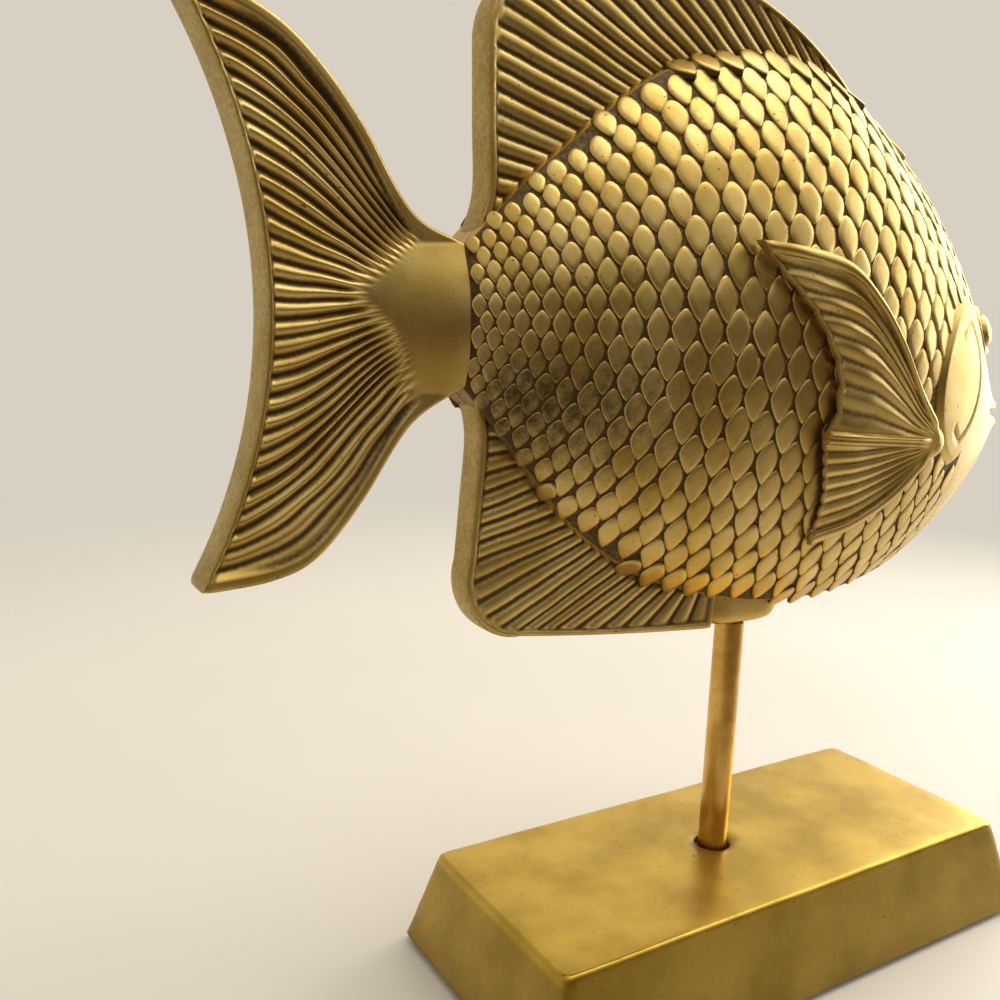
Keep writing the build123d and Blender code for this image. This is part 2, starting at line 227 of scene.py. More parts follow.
def geometry_tree(name, sockets):
    """An empty node tree with a geometry in and out and the named inputs, and its input node."""
    tree = bpy.data.node_groups.new(name, "GeometryNodeTree")
    tree.interface.new_socket("Geometry", in_out="INPUT", socket_type="NodeSocketGeometry")
    for label, kind in sockets:
        tree.interface.new_socket(label, in_out="INPUT", socket_type=kind)
    tree.interface.new_socket("Geometry", in_out="OUTPUT", socket_type="NodeSocketGeometry")
    return tree, add_node(tree, "NodeGroupInput")


def grown_by_nodes(piece, tree, values):
    """Runs a node tree on a piece and keeps the result as the piece's plain mesh."""
    modifier = piece.modifiers.new(tree.name, "NODES")
    modifier.node_group = tree
    for socket in tree.interface.items_tree:
        if socket.in_out == "INPUT" and socket.name in values:
            modifier[socket.identifier] = values[socket.name]
    graph = bpy.context.evaluated_depsgraph_get()
    grown = bpy.data.meshes.new_from_object(
        piece.evaluated_get(graph), preserve_all_data_layers=True, depsgraph=graph
    )
    piece.modifiers.remove(modifier)
    piece.data = grown
    return piece


# Finishes


def brass_finish(name, bright, dark, rough, stain_mm, pit_mm, streak_mm, ragged, lacquer):
    """Cast or drawn brass: polished highs over a brown patina, with stains, pits and rubbing marks."""
    finish = bpy.data.materials.new(name)
    finish.use_nodes = True
    tree = finish.node_tree
    shader = tree.nodes["Principled BSDF"]
    place = add_node(tree, "ShaderNodeTexCoord").outputs["Object"]
    stain = noise(tree, place, stain_mm, 5.0)
    fine = noise(tree, place, pit_mm, 3.0)
    stretched = add_node(tree, "ShaderNodeMapping", {"Vector": place, "Scale": streak_mm["stretch"]})
    streak = noise(tree, stretched.outputs["Vector"], streak_mm["width"], 4.0)
    blotch = ramp(tree, stain, 0.36, 0.62, 1.0, 0.0)
    pits = ramp(tree, fine, 0.67, 0.75)
    grime = pits
    if ragged:
        polish = add_node(tree, "ShaderNodeAttribute", attribute_name="polish").outputs["Fac"]
        edge = math(tree, "MULTIPLY_ADD", fine, ragged, -ragged / 2)
        worn = math(tree, "ADD", polish, edge)
        patina = ramp(tree, worn, 0.15, 0.75, 1.0, 0.0)
        grime = math(tree, "MAXIMUM", patina, grime)
    toned = mixed(tree, blotch, linear(bright[0]), linear(bright[1]))
    tree.links.new(mixed(tree, grime, toned, linear(dark)), shader.inputs["Base Color"])
    gloss = math(tree, "MULTIPLY_ADD", streak, rough[1], rough[0] - rough[1] / 2)
    tree.links.new(math(tree, "MULTIPLY_ADD", grime, 0.3, gloss), shader.inputs["Roughness"])
    tree.links.new(math(tree, "MULTIPLY_ADD", grime, -0.6, 1.0), shader.inputs["Metallic"])
    relief = math(tree, "MULTIPLY_ADD", pits, -1.5, streak)
    bump = add_node(tree, "ShaderNodeBump", {"Height": relief, "Strength": 0.25, "Distance": 0.1 * MM})
    tree.links.new(bump.outputs["Normal"], shader.inputs["Normal"])
    shader.inputs["Coat Weight"].default_value = lacquer
    shader.inputs["Coat Roughness"].default_value = 0.35
    return finish


# Antiqued cast brass: sand-cast, browned, then rubbed back, so the highs shine and the hollows stay brown
cast_brass = brass_finish(
    "antiqued_cast_brass", ("#dabf78", "#c2a458"), "#56421e", (0.40, 0.12), 14.0, 0.9,
    {"width": 0.5, "stretch": (1.0, 1.0, 0.3)}, 0.5, 0.0,
)
# Satin brass plate: ground and buffed, with brown stains, small casting pits and long rubbing marks
base_brass = brass_finish(
    "satin_cast_brass", ("#cbaa48", "#ab8c30"), "#523c02", (0.34, 0.16), 22.0, 1.1,
    {"width": 0.6, "stretch": (0.12, 1.0, 1.0)}, 0.14, 0.12,
)
# Drawn brass rod: redder than the castings, with streaks along the rod
rod_brass = brass_finish(
    "drawn_brass_rod", ("#dcb464", "#bf9244"), "#54401a", (0.28, 0.14), 9.0, 0.8,
    {"width": 0.5, "stretch": (1.0, 1.0, 0.05)}, 0.0, 0.0,
)


def felt_finish():
    """Pressed wool felt: matt, with matted fibres that catch light at the edges."""
    finish = bpy.data.materials.new("pressed_wool_felt")
    finish.use_nodes = True
    tree = finish.node_tree
    shader = tree.nodes["Principled BSDF"]
    place = add_node(tree, "ShaderNodeTexCoord").outputs["Object"]
    fibre = noise(tree, place, 0.7, 6.0)
    colour = add_node(tree, "ShaderNodeValToRGB", {"Fac": fibre})
    colour.color_ramp.elements[0].color = linear("#1c3323")
    colour.color_ramp.elements[1].color = linear("#3d5a40")
    tree.links.new(colour.outputs["Color"], shader.inputs["Base Color"])
    bump = add_node(tree, "ShaderNodeBump", {"Height": fibre, "Strength": 0.6, "Distance": 0.3 * MM})
    tree.links.new(bump.outputs["Normal"], shader.inputs["Normal"])
    shader.inputs["Roughness"].default_value = 0.95
    shader.inputs["Sheen Weight"].default_value = 0.4
    return finish


felt = felt_finish()

# Body halves: a skin with head, gill cover, eye and mouth

GILL_TOP, GILL_DROP, GILL_REAR, GILL_FRONT, GILL_RELIEF = 12.0, 34.0, 39.0, 70.0, 1.2
EYE, EYE_RADIUS, PUPIL_RADIUS, PUPIL_RELIEF = (74.0, 3.0), 7.0, 4.0, 3.0
MOUTH_DROP, MOUTH_DEPTH = 22.0, 13.0
HEAD_START = 34.0  # from here to the lips the skin's columns lie closer


def gill_inside(x, z):
    """How far a point lies inside the gill cover's outline, negative outside it."""
    upper = (GILL_REAR + 18.0, GILL_TOP)
    lower = (GILL_REAR + 15.8, -GILL_DROP)
    middle = (GILL_TOP - GILL_DROP) / 2
    depth = np.full(np.shape(x), 1e9)
    for middle_x in (GILL_REAR, GILL_FRONT):
        arc = arc_through(upper, (middle_x, middle), lower, 3)
        a, b, c = arc
        m = 2 * np.array([b - a, c - a])
        centre = np.linalg.solve(m, [b @ b - a @ a, c @ c - a @ a])
        depth = np.minimum(depth, np.linalg.norm(a - centre) - np.hypot(x - centre[0], z - centre[1]))
    return depth


def head_relief(x, z):
    """Height of the head's modelling over the plain body, and how polished it is."""
    inside = gill_inside(x, z)
    rise = GILL_RELIEF * smoothstep(-0.4, 1.6, inside)
    polish = 1 - 0.9 * np.exp(-((inside + 0.7) / 0.8) ** 2)
    crease = np.abs(inside - 6.5)
    rise -= 0.5 * np.exp(-(crease / 0.7) ** 2) * (x > 50)
    polish -= 0.6 * np.exp(-(crease / 0.7) ** 2) * (x > 50)
    off = np.hypot(x - EYE[0], z - EYE[1])
    lid = GILL_RELIEF * smoothstep(EYE_RADIUS + 0.6, EYE_RADIUS - 0.8, off)
    rise = np.where(off < EYE_RADIUS + 1.5, lid, rise)
    dome = np.sqrt(np.clip(1 - (off / (PUPIL_RADIUS + 0.4)) ** 2, 0, 1))
    rise += (PUPIL_RELIEF - GILL_RELIEF) * dome
    for ring in (EYE_RADIUS + 0.6, PUPIL_RADIUS + 0.7):
        mark = np.exp(-((off - ring) / 0.5) ** 2)
        rise -= 0.5 * mark
        polish -= 0.85 * mark
    ahead = smoothstep(FRONT - MOUTH_DEPTH, FRONT - 3.0, x)
    gap = np.abs(z + MOUTH_DROP - 0.12 * (FRONT - x))
    line = np.exp(-(gap / 0.9) ** 2) * smoothstep(FRONT - MOUTH_DEPTH - 1.5, FRONT - MOUTH_DEPTH + 2, x)
    rise += 0.8 * np.exp(-((gap - 2.6) / 1.5) ** 2) * ahead - 1.6 * line
    polish -= 0.9 * line
    nostril = np.exp(-(((x - 86.0) / 1.1) ** 2 + ((z - 1.5) / 1.1) ** 2))
    rise -= 0.7 * nostril
    polish -= 0.9 * nostril
    return rise, np.clip(polish, 0, 1)


def body_grid(columns, rows):
    """Outer skin of the near half as a grid from tail to lips and from back to belly."""
    plain = columns // 3
    x = np.concatenate([
        np.linspace(-REAR, HEAD_START, plain, endpoint=False), np.linspace(HEAD_START, FRONT, columns - plain)
    ])
    top, bottom, side, edge = body_at(x)
    nose = np.sqrt(np.clip(1 - (np.clip(x - 96.5, 0, None) / 3.8) ** 2, 0.05, 1))
    middle, half = (top + bottom) / 2, (top - bottom) / 2 * nose
    side, edge = side * nose, edge * nose
    sag = side - edge
    radius = (half**2 + sag**2) / (2 * sag)
    swing = np.arcsin(np.clip(half / radius, -1, 1))
    flat = np.linspace(0, 1, 6, endpoint=False)
    turn = np.linspace(1, -1, rows - 12)
    y = np.concatenate([
        edge[:, None] * flat,
        side[:, None] - radius[:, None] * (1 - np.cos(swing[:, None] * turn)),
        edge[:, None] * flat[::-1],
    ], axis=1)
    z = np.concatenate([
        np.repeat((middle + half)[:, None], 6, axis=1),
        middle[:, None] + radius[:, None] * np.sin(swing[:, None] * turn),
        np.repeat((middle - half)[:, None], 6, axis=1),
    ], axis=1)
    for _ in range(5):
        for field in (y, z):
            field[:, 1:-1] = (field[:, :-2] + 2 * field[:, 1:-1] + field[:, 2:]) / 4
    return np.stack([np.repeat(x[:, None], rows, axis=1), -y, z], axis=-1)


def outward(points):
    """Unit normals of the near skin, pointing away from the fish."""
    along = np.gradient(points, axis=0)
    down = np.gradient(points, axis=1)
    normal = np.cross(down, along)
    normal /= np.linalg.norm(normal, axis=-1, keepdims=True) + 1e-12
    return normal * np.sign(np.median(-normal[..., 1]))


def body_skin(name):
    columns, rows = 190, 190
    points = body_grid(columns, rows)
    rise, polish = head_relief(points[..., 0], points[..., 2])
    head = smoothstep(30, 36, points[..., 0]) * smoothstep(0.5, 3.0, -points[..., 1])
    points = points + outward(points) * (rise * head)[..., None]
    polish = np.where(points[..., 0] > 36, polish, 1.0)
    polish = np.where(scaled_at(points[..., 0], points[..., 2]) > 0.5, 0.2, polish)
    polish[:, :7] = polish[:, -7:] = 0.8
    points[..., 1] -= 0.02
    points[..., 2] += AXIS
    faces = [tuple(f[::-1]) for f in grid_faces(columns, rows)]
    for c in range(columns - 1):
        faces.append((c * rows, (c + 1) * rows, (c + 2) * rows - 1, (c + 1) * rows - 1))
    faces.append(tuple(range(rows))[::-1])
    faces.append(tuple(range((columns - 1) * rows, columns * rows)))
    return make_piece(name, points.reshape(-1, 3), faces, {"polish": polish.ravel()})


def scaled_at(x, z):
    """1 where the skin carries scales, 0 on head and gill cover."""
    return ((gill_inside(x, z) < -1.3) & (x < 66.5 + 0.12 * z)).astype(float)


# Scales: a plate for each cell of a diamond lattice that follows the skin

LATTICE = 48  # cells across the bed's UV square
SCALE_ASPECT = 2.1  # height of a cell to its width
# Places along the fish, then the width of a cell and the share of a plate's thickness and lift there
SCALE_WIDTHS = [-90, -78, -62, -42, -22, 5, 30, 60, 100], [3.0, 3.9, 5.2, 6.6, 7.2, 7.4, 7.0, 6.2, 5.4]
SCALE_BOLDNESS = [-90, -65, 0, 30, 60], [0.6, 1.0, 1.0, 0.8, 0.6]


def scale_bed():
    """The skin's scaled part with the lattice as its UV map, and each cell's size and upward direction."""
    columns, rows = 110, 90
    points = body_grid(columns, rows)
    x = points[:, 0, 0]
    wide = np.interp(x, SCALE_WIDTHS[0], SCALE_WIDTHS[1])
    tall = SCALE_ASPECT * wide
    bold = np.interp(x, SCALE_BOLDNESS[0], SCALE_BOLDNESS[1])
    across = np.concatenate([[0], np.cumsum(np.diff(x) * 2 / (wide[1:] + wide[:-1]))])
    step = np.linalg.norm(np.diff(points, axis=1), axis=-1)
    down = np.concatenate([np.zeros((columns, 1)), np.cumsum(step, axis=1)], axis=1)
    at_axis = np.array([np.interp(0.0, -points[c, :, 2], down[c]) for c in range(columns)])
    up = (at_axis[:, None] - down) / tall[:, None]
    u = np.repeat((across - across[-1] / 2)[:, None], rows, axis=1) / LATTICE + 0.5
    v = up / LATTICE + 0.5
    rise = -np.gradient(points, axis=1)
    rise /= np.linalg.norm(rise, axis=-1, keepdims=True) + 1e-12
    edge_gap = np.minimum(down, down[:, -1:] - down) / tall[:, None]
    keep = scaled_at(points[..., 0], points[..., 2]) * (edge_gap > 0.3) * (outward(points)[..., 1] < -0.5)
    cell = np.stack([np.repeat(field[:, None], rows, 1) for field in (wide, tall, bold)], -1)
    lifted = points + np.array([0, 0, AXIS])
    faces = [tuple(f[::-1]) for f in grid_faces(columns, rows)]
    bed = make_piece("scale_bed", lifted.reshape(-1, 3), faces, {
        "rise": rise.reshape(-1, 3), "cell": cell.reshape(-1, 3), "keep": keep.ravel(),
        "face_out": outward(points).reshape(-1, 3), "high": np.clip(up - 0.5, 0, 1).ravel(),
    })
    layer = bed.data.uv_layers.new(name="lattice")
    corner = np.zeros(len(bed.data.loops), np.int32)
    bed.data.loops.foreach_get("vertex_index", corner)
    places = np.stack([u.ravel()[corner], v.ravel()[corner]], -1)
    layer.data.foreach_set("uv", places.astype(np.float32).ravel())
    return bed


# Powers that round a scale's upper and lower half, then its half width and its reach up and down
# as shares of a cell
PLATES = {
    "Diamond plate": (1.5, 1.3, 0.545, 0.375, 0.425),
    "Drop plate": (1.75, 1.35, 0.54, 0.35, 0.42),
}


def scale_plate(name, upper, lower, half_width, reach_up, reach_down):
    """One scale: a crowned plate with a bevelled border, for a cell of unit width and height."""
    sides = 20
    angle = np.linspace(0, 2 * np.pi, sides, endpoint=False) + np.pi / 2
    c, s = np.cos(angle), np.sin(angle)
    power = np.where(s > 0, upper, lower)
    reach = (np.abs(c) ** power + np.abs(s) ** power) ** (-1 / power)
    outline = np.stack([reach * c * half_width, reach * s * np.where(s > 0, reach_up, reach_down)], -1)
    # share of the outline, height and polish of each ring; the border below the bevel stays brown
    rings = [(0.5, 0.6, 1.0), (0.82, 0.5, 1.0), (0.9, 0.3, 0.85), (0.94, -0.05, 0.0), (1.0, -1.1, 0.0)]
    points, polish = [(0.0, 0.0, 0.68)], [1.0]
    for share, height, shine in rings:
        points += [(x * share, y * share, height) for x, y in outline]
        polish += [shine] * sides
    faces = [(0, 1 + k, 1 + (k + 1) % sides) for k in range(sides)]
    for r in range(len(rings) - 1):
        a = 1 + r * sides
        b = a + sides
        faces += [(a + k, b + k, b + (k + 1) % sides, a + (k + 1) % sides) for k in range(sides)]
    return make_piece(name, np.array(points) / MM, faces, {"polish": polish})


def scale_tree():
    """Plates on the lattice: points of two grids are sent to the skin through its UV map."""
    tree, given = geometry_tree("fish_scales", [
        *[(label, "NodeSocketObject") for label in PLATES],
        ("Cells", "NodeSocketInt"), ("Cover", "NodeSocketFloat"),
        ("Thickness", "NodeSocketFloat"), ("Lift", "NodeSocketFloat"),
        ("Unevenness", "NodeSocketFloat"), ("Seed", "NodeSocketInt"), ("Finish", "NodeSocketMaterial"),
    ])
    bed = given.outputs["Geometry"]
    count = math(tree, "ADD", given.outputs["Cells"], 1.0)
    grid = add_node(
        tree, "GeometryNodeMeshGrid", {"Vertices X": count, "Vertices Y": count, "Size X": 1.0, "Size Y": 1.0}
    )
    half = math(tree, "DIVIDE", 0.5, given.outputs["Cells"])
    shift = add_node(tree, "ShaderNodeCombineXYZ", {"X": half, "Y": half}).outputs[0]
    between = add_node(
        tree, "GeometryNodeTransform", {"Geometry": grid.outputs["Mesh"], "Translation": shift}
    )
    lattice = add_node(tree, "GeometryNodeJoinGeometry")
    tree.links.new(grid.outputs["Mesh"], lattice.inputs[0])
    tree.links.new(between.outputs[0], lattice.inputs[0])
    spot = add_node(tree, "GeometryNodeInputPosition").outputs[0]
    uv_place = vector_math(tree, "ADD", spot, (0.5, 0.5, 0.0))
    uv_map = attribute(tree, "lattice", "FLOAT_VECTOR")
    read = {}
    wanted = (("spot", "FLOAT_VECTOR"), ("rise", "FLOAT_VECTOR"), ("cell", "FLOAT_VECTOR"),
              ("face_out", "FLOAT_VECTOR"), ("keep", "FLOAT"), ("high", "FLOAT"))
    points = lattice.outputs[0]
    for label, kind in wanted:
        if label == "spot":
            value = spot
        else:
            value = attribute(tree, label, kind)
        sampled = add_node(tree, "GeometryNodeSampleUVSurface", {
            "Mesh": bed, "Value": value, "Source UV Map": uv_map, "Sample UV": uv_place,
        }, data_type=kind)
        stored = add_node(tree, "GeometryNodeStoreNamedAttribute", {
            "Geometry": points, "Name": "on_" + label, "Value": sampled.outputs[0],
        }, data_type=kind, domain="POINT")
        points = stored.outputs[0]
        read[label] = attribute(tree, "on_" + label, kind)

    def compare(value, operation, limit):
        return add_node(
            tree, "FunctionNodeCompare", {0: value, 1: limit}, operation=operation, data_type="FLOAT"
        ).outputs[0]

    left = add_node(
        tree, "GeometryNodeDeleteGeometry",
        {"Geometry": points, "Selection": compare(read["keep"], "LESS_THAN", 0.5)}, domain="POINT",
    )
    placed = add_node(
        tree, "GeometryNodeSetPosition", {"Geometry": left.outputs[0], "Position": read["spot"]}
    )
    turned = add_node(
        tree, "FunctionNodeAxesToRotation",
        {"Primary Axis": read["face_out"], "Secondary Axis": read["rise"]},
        primary_axis="Z", secondary_axis="Y",
    )
    wobble = given.outputs["Unevenness"]
    less = math(tree, "MULTIPLY", wobble, -1.0)
    high = add_node(tree, "ShaderNodeCombineXYZ", {"X": wobble, "Y": wobble, "Z": wobble}).outputs[0]
    low = add_node(tree, "ShaderNodeCombineXYZ", {"X": less, "Y": less, "Z": less}).outputs[0]
    chance = add_node(
        tree, "FunctionNodeRandomValue", {"Min": low, "Max": high, "Seed": given.outputs["Seed"]},
        data_type="FLOAT_VECTOR",
    ).outputs[0]
    bold = add_node(tree, "ShaderNodeSeparateXYZ", {0: read["cell"]}).outputs["Z"]
    lift = math(tree, "MULTIPLY", given.outputs["Lift"], bold)
    dip = math(tree, "MULTIPLY", lift, -0.3)
    pose = add_node(tree, "ShaderNodeCombineXYZ", {"X": dip, "Y": lift}).outputs[0]
    posed = vector_math(tree, "ADD", pose, chance)
    bend = add_node(tree, "FunctionNodeEulerToRotation", {"Euler": posed}).outputs[0]
    turned = add_node(
        tree, "FunctionNodeRotateRotation", {"Rotation": turned.outputs[0], "Rotate By": bend},
        rotation_space="LOCAL",
    )
    sized = add_node(
        tree, "FunctionNodeRandomValue",
        {"Min": (0.93, 0.93, 0.8), "Max": (1.04, 1.04, 1.2), "Seed": given.outputs["Seed"]},
        data_type="FLOAT_VECTOR",
    ).outputs[0]
    flat = add_node(
        tree, "ShaderNodeCombineXYZ",
        {"X": given.outputs["Cover"], "Y": given.outputs["Cover"], "Z": given.outputs["Thickness"]},
    ).outputs[0]
    size = vector_math(tree, "MULTIPLY", read["cell"], flat)
    size = vector_math(tree, "MULTIPLY", size, sized)
    size = add_node(tree, "ShaderNodeVectorMath", {0: size, "Scale": MM}, operation="SCALE").outputs[0]
    scattered = add_node(tree, "GeometryNodeJoinGeometry")
    for kind, label in enumerate(PLATES):
        plate = add_node(tree, "GeometryNodeObjectInfo", {"Object": given.outputs[label]})
        above = compare(read["high"], "GREATER_EQUAL", kind - 0.5)
        below = compare(read["high"], "LESS_THAN", kind + 0.5)
        chosen = add_node(tree, "FunctionNodeBooleanMath", {0: above, 1: below}, operation="AND")
        plates = add_node(tree, "GeometryNodeInstanceOnPoints", {
            "Points": placed.outputs[0], "Selection": chosen.outputs[0],
            "Instance": plate.outputs["Geometry"], "Rotation": turned.outputs[0], "Scale": size,
        })
        tree.links.new(plates.outputs[0], scattered.inputs[0])
    solid = add_node(tree, "GeometryNodeRealizeInstances", {"Geometry": scattered.outputs[0]})
    finished = add_node(
        tree, "GeometryNodeSetMaterial", {"Geometry": solid.outputs[0], "Material": given.outputs["Finish"]}
    )
    add_node(tree, "NodeGroupOutput", {0: finished.outputs[0]})
    return tree


def sooted_and_highlit(piece):
    """Takes polish off where the casting is sooty, low near the tail, and paints a highlight on the upper front of the
    body by raising its polish.
    """
    mesh = piece.data
    place = np.zeros(len(mesh.vertices) * 3, np.float32)
    mesh.vertices.foreach_get("co", place)
    x, _, z = place.reshape(-1, 3).T / MM
    polish = np.zeros(len(mesh.vertices), np.float32)
    mesh.attributes["polish"].data.foreach_get("value", polish)
    soot = np.exp(-(np.where(x < -80, (x + 80) / 14, (x + 80) / 52) ** 2) - ((z - AXIS + 17) / 20) ** 2)
    speckle = 0.5 + 0.5 * np.sin(x / 0.9 + np.sin(z / 1.7)) * np.sin(z / 1.1 + np.sin(x / 2.3))
    # the bevels round the scales stay rubbed bright
    hold = np.where(np.abs(polish - 0.85) < 0.01, 0.15, 0.6 + 0.3 * speckle)
    # painted highlight: the upper front of the body, lit strongly from the right, gets a polish of at least 0.7
    painted_forehead_highlight = 0.7 * smoothstep(12, 45, x) * smoothstep(-20, 15, z - AXIS)
    sooted_polish_with_highlight = np.maximum(polish * (1 - hold * soot), painted_forehead_highlight)
    mesh.attributes["polish"].data.foreach_set("value", sooted_polish_with_highlight.astype(np.float32))


def drop(piece):
    """Removes a helper object that only served to build another."""
    mesh = piece.data
    bpy.data.objects.remove(piece)
    bpy.data.meshes.remove(mesh)


plates = {label: scale_plate(label, *shape) for label, shape in PLATES.items()}
near_scales = grown_by_nodes(scale_bed(), scale_tree(), {
    **plates, "Cells": LATTICE, "Cover": 1.0, "Thickness": 0.9, "Lift": 0.05,
    "Unevenness": 0.04, "Seed": 7, "Finish": cast_brass,
})
near_scales.name = "near_scales"
for helper in plates.values():
    drop(helper)
near_skin = body_skin("near_skin")
sooted_and_highlit(near_scales)
sooted_and_highlit(near_skin)
mirrored(near_scales, "far_scales")
mirrored(near_skin, "far_skin")
for side in ("near", "far"):
    for part in ("skin", "scales"):
        dress(bpy.data.objects[f"{side}_{part}"], f"{side}_body_shell", "fish", cast_brass)


# Fins: plates whose rays are carved by nodes


def ray_tree():
    """Carves rays into a fin: uneven grooves between counted rays, as deep as the fin's swell says."""
    tree, given = geometry_tree("carved_rays", [
        ("Depth", "NodeSocketFloat"), ("Crest", "NodeSocketFloat"), ("Wander", "NodeSocketFloat"),
        ("Wander length", "NodeSocketFloat"), ("Seed", "NodeSocketInt"), ("Finish", "NodeSocketMaterial"),
    ])
    ray, swell, shade = (attribute(tree, label) for label in ("ray", "swell", "shade"))
    out = attribute(tree, "out", "FLOAT_VECTOR")
    spot = add_node(tree, "GeometryNodeInputPosition").outputs[0]
    pitch = math(tree, "DIVIDE", 1.0, given.outputs["Wander length"])
    noise = add_node(
        tree, "ShaderNodeTexNoise",
        {"Vector": spot, "W": given.outputs["Seed"], "Scale": pitch, "Detail": 1.0},
        noise_dimensions="4D",
    ).outputs[0]
    centred = math(tree, "ADD", noise, -0.5)
    phase = math(tree, "MULTIPLY_ADD", centred, given.outputs["Wander"], ray)
    part = math(tree, "FRACT", phase)
    sided = math(tree, "MULTIPLY_ADD", part, 2.0, -1.0)
    off = math(tree, "ABSOLUTE", sided)
    groove = math(tree, "POWER", off, given.outputs["Crest"])
    shifted = math(tree, "ADD", phase, 0.5)
    number = math(tree, "FLOOR", shifted)
    varied = add_node(
        tree, "FunctionNodeRandomValue",
        {"Min": 0.55, "Max": 1.0, "ID": number, "Seed": given.outputs["Seed"]},
        data_type="FLOAT",
    ).outputs[1]
    uneven = math(tree, "MULTIPLY", groove, varied)
    carved = math(tree, "MULTIPLY", uneven, swell)
    deep = math(tree, "MULTIPLY", carved, given.outputs["Depth"])
    inward = math(tree, "MULTIPLY", deep, -1.0)
    move = add_node(tree, "ShaderNodeVectorMath", {0: out, "Scale": inward}, operation="SCALE").outputs[0]
    shaped = add_node(
        tree, "GeometryNodeSetPosition", {"Geometry": given.outputs["Geometry"], "Offset": move}
    )
    grimy = ramp(tree, off, 0.42, 0.92)
    in_groove = math(tree, "MULTIPLY", grimy, swell)
    clean = math(tree, "SUBTRACT", 1.0, in_groove)
    polish = math(tree, "MULTIPLY", clean, shade)
    noted = add_node(
        tree, "GeometryNodeStoreNamedAttribute",
        {"Geometry": shaped.outputs[0], "Name": "polish", "Value": polish},
        data_type="FLOAT", domain="POINT",
    )
    solid = add_node(tree, "GeometryNodeRealizeInstances", {"Geometry": noted.outputs[0]})
    finished = add_node(
        tree, "GeometryNodeSetMaterial", {"Geometry": solid.outputs[0], "Material": given.outputs["Finish"]}
    )
    add_node(tree, "NodeGroupOutput", {0: finished.outputs[0]})
    return tree


carve = ray_tree()


def fin_plate(name, grid, half, middle, rays, swell, shade, bulge):
    """A fin from a grid of rays by steps in its plane: two faces, half a thickness off the middle, and a round edge."""
    rows, columns = grid.shape[:2]
    near = np.stack([grid[..., 0], middle - half, grid[..., 1]], -1).reshape(-1, 3)
    far = np.stack([grid[..., 0], middle + half, grid[..., 1]], -1).reshape(-1, 3)
    loop = np.concatenate([
        np.arange(columns), np.arange(1, rows) * columns + columns - 1,
        (rows - 1) * columns + np.arange(columns - 2, -1, -1), np.arange(rows - 2, 0, -1) * columns,
    ])
    rim = near[loop][:, [0, 2]]
    ahead = np.roll(rim, -1, axis=0) - np.roll(rim, 1, axis=0)
    ahead /= np.linalg.norm(ahead, axis=1, keepdims=True) + 1e-9
    normal = np.stack([ahead[:, 1], -ahead[:, 0]], -1)
    area = np.sum(rim[:, 0] * np.roll(rim[:, 1], -1) - rim[:, 1] * np.roll(rim[:, 0], -1))
    normal *= np.sign(area)
    for _ in range(3):
        normal = (np.roll(normal, 1, axis=0) + 2 * normal + np.roll(normal, -1, axis=0)) / 4
    total = rows * columns
    points = [near, far]
    turn = np.linspace(-90, 90, 9)[1:-1] * np.pi / 180
    edge_half, edge_middle = half.reshape(-1)[loop], np.broadcast_to(middle, half.shape).reshape(-1)[loop]
    for t in turn:
        out_by = bulge * np.abs(np.cos(t)) ** 0.6
        across = np.sign(np.sin(t)) * np.abs(np.sin(t)) ** 0.6
        ring = rim + normal * out_by
        points.append(np.stack([ring[:, 0], edge_middle + across * edge_half, ring[:, 1]], -1))
    faces = [tuple(f) for f in grid_faces(rows, columns)]
    turned = area < 0
    faces = [f if turned else f[::-1] for f in faces]
    faces += [tuple(total + i for i in f[::-1]) for f in faces]
    count = len(loop)
    rings = [loop, *[2 * total + r * count + np.arange(count) for r in range(len(turn))], total + loop]
    for a, b in zip(rings, rings[1:]):
        for k in range(count):
            quad = (a[k], b[k], b[(k + 1) % count], a[(k + 1) % count])
            faces.append(quad if not turned else quad[::-1])
    points = np.concatenate(points)
    points[:, 2] += AXIS
    extra = count * len(turn)
    sides = [np.tile((0, way, 0), (total, 1)) for way in (-1.0, 1.0)]
    out = np.concatenate([*sides, np.zeros((extra, 3))])
    both = lambda field, rest: np.concatenate([field.reshape(-1), field.reshape(-1), np.full(extra, rest)])
    # the rounded edge strip gets shade 0.55, less polish: brown patina on the fins' rims, and painted shade on the
    # pectoral fins' trailing edges, which lie in shadow against the flank
    return make_piece(name, points, faces, {
        "ray": both(rays, 0.0), "swell": both(swell, 0.0), "shade": both(shade, 0.55), "out": out,
    })


def carved_fin(piece, depth, crest, wander, seed):
    return grown_by_nodes(face_outwards(piece), carve, {
        "Depth": depth * MM, "Crest": crest, "Wander": wander, "Wander length": 16 * MM, "Seed": seed,
        "Finish": cast_brass,
    })


# Tail fin: rays bend with the leading edges; a smooth saddle stands where it leaves the body

TAIL_THICK = 10.0
TAIL_UPPER = [
    (-89.0, 15.0), (-102.2, 20.8), (-113.7, 37.1), (-123.7, 47.9), (-133.3, 54.0), (-148.1, 58.1),
]
TAIL_LOWER = [
    (-89.0, -13.6), (-101.5, -21.6), (-112.3, -37.4), (-121.7, -48.2), (-130.7, -52.2), (-144.6, -53.6),
]
TAIL_FORK = (-131.4, -6.0)
# For rays from the upper to the lower leading edge: place among them, where each leaves the saddle
# (x, height), its slope there and at the trailing edge in degrees, and the share of that edge where it ends
TAIL_FAN = np.array([
    (0.0, -98.5, 17.0, 40, 7, 0.0),
    (0.2, -103.0, 12.3, 34, 12, 0.21),
    (0.35, -107.5, 8.0, 26, 18, 0.365),
    (0.45, -110.5, 4.8, 3, 4, 0.468),
    (0.55, -106.5, 0.8, -14, -3, 0.56),
    (0.7, -103.5, -4.0, -24, -10, 0.705),
    (0.85, -101.5, -8.8, -32, -14, 0.853),
    (1.0, -98.5, -16.0, -42, -7, 1.0),
])


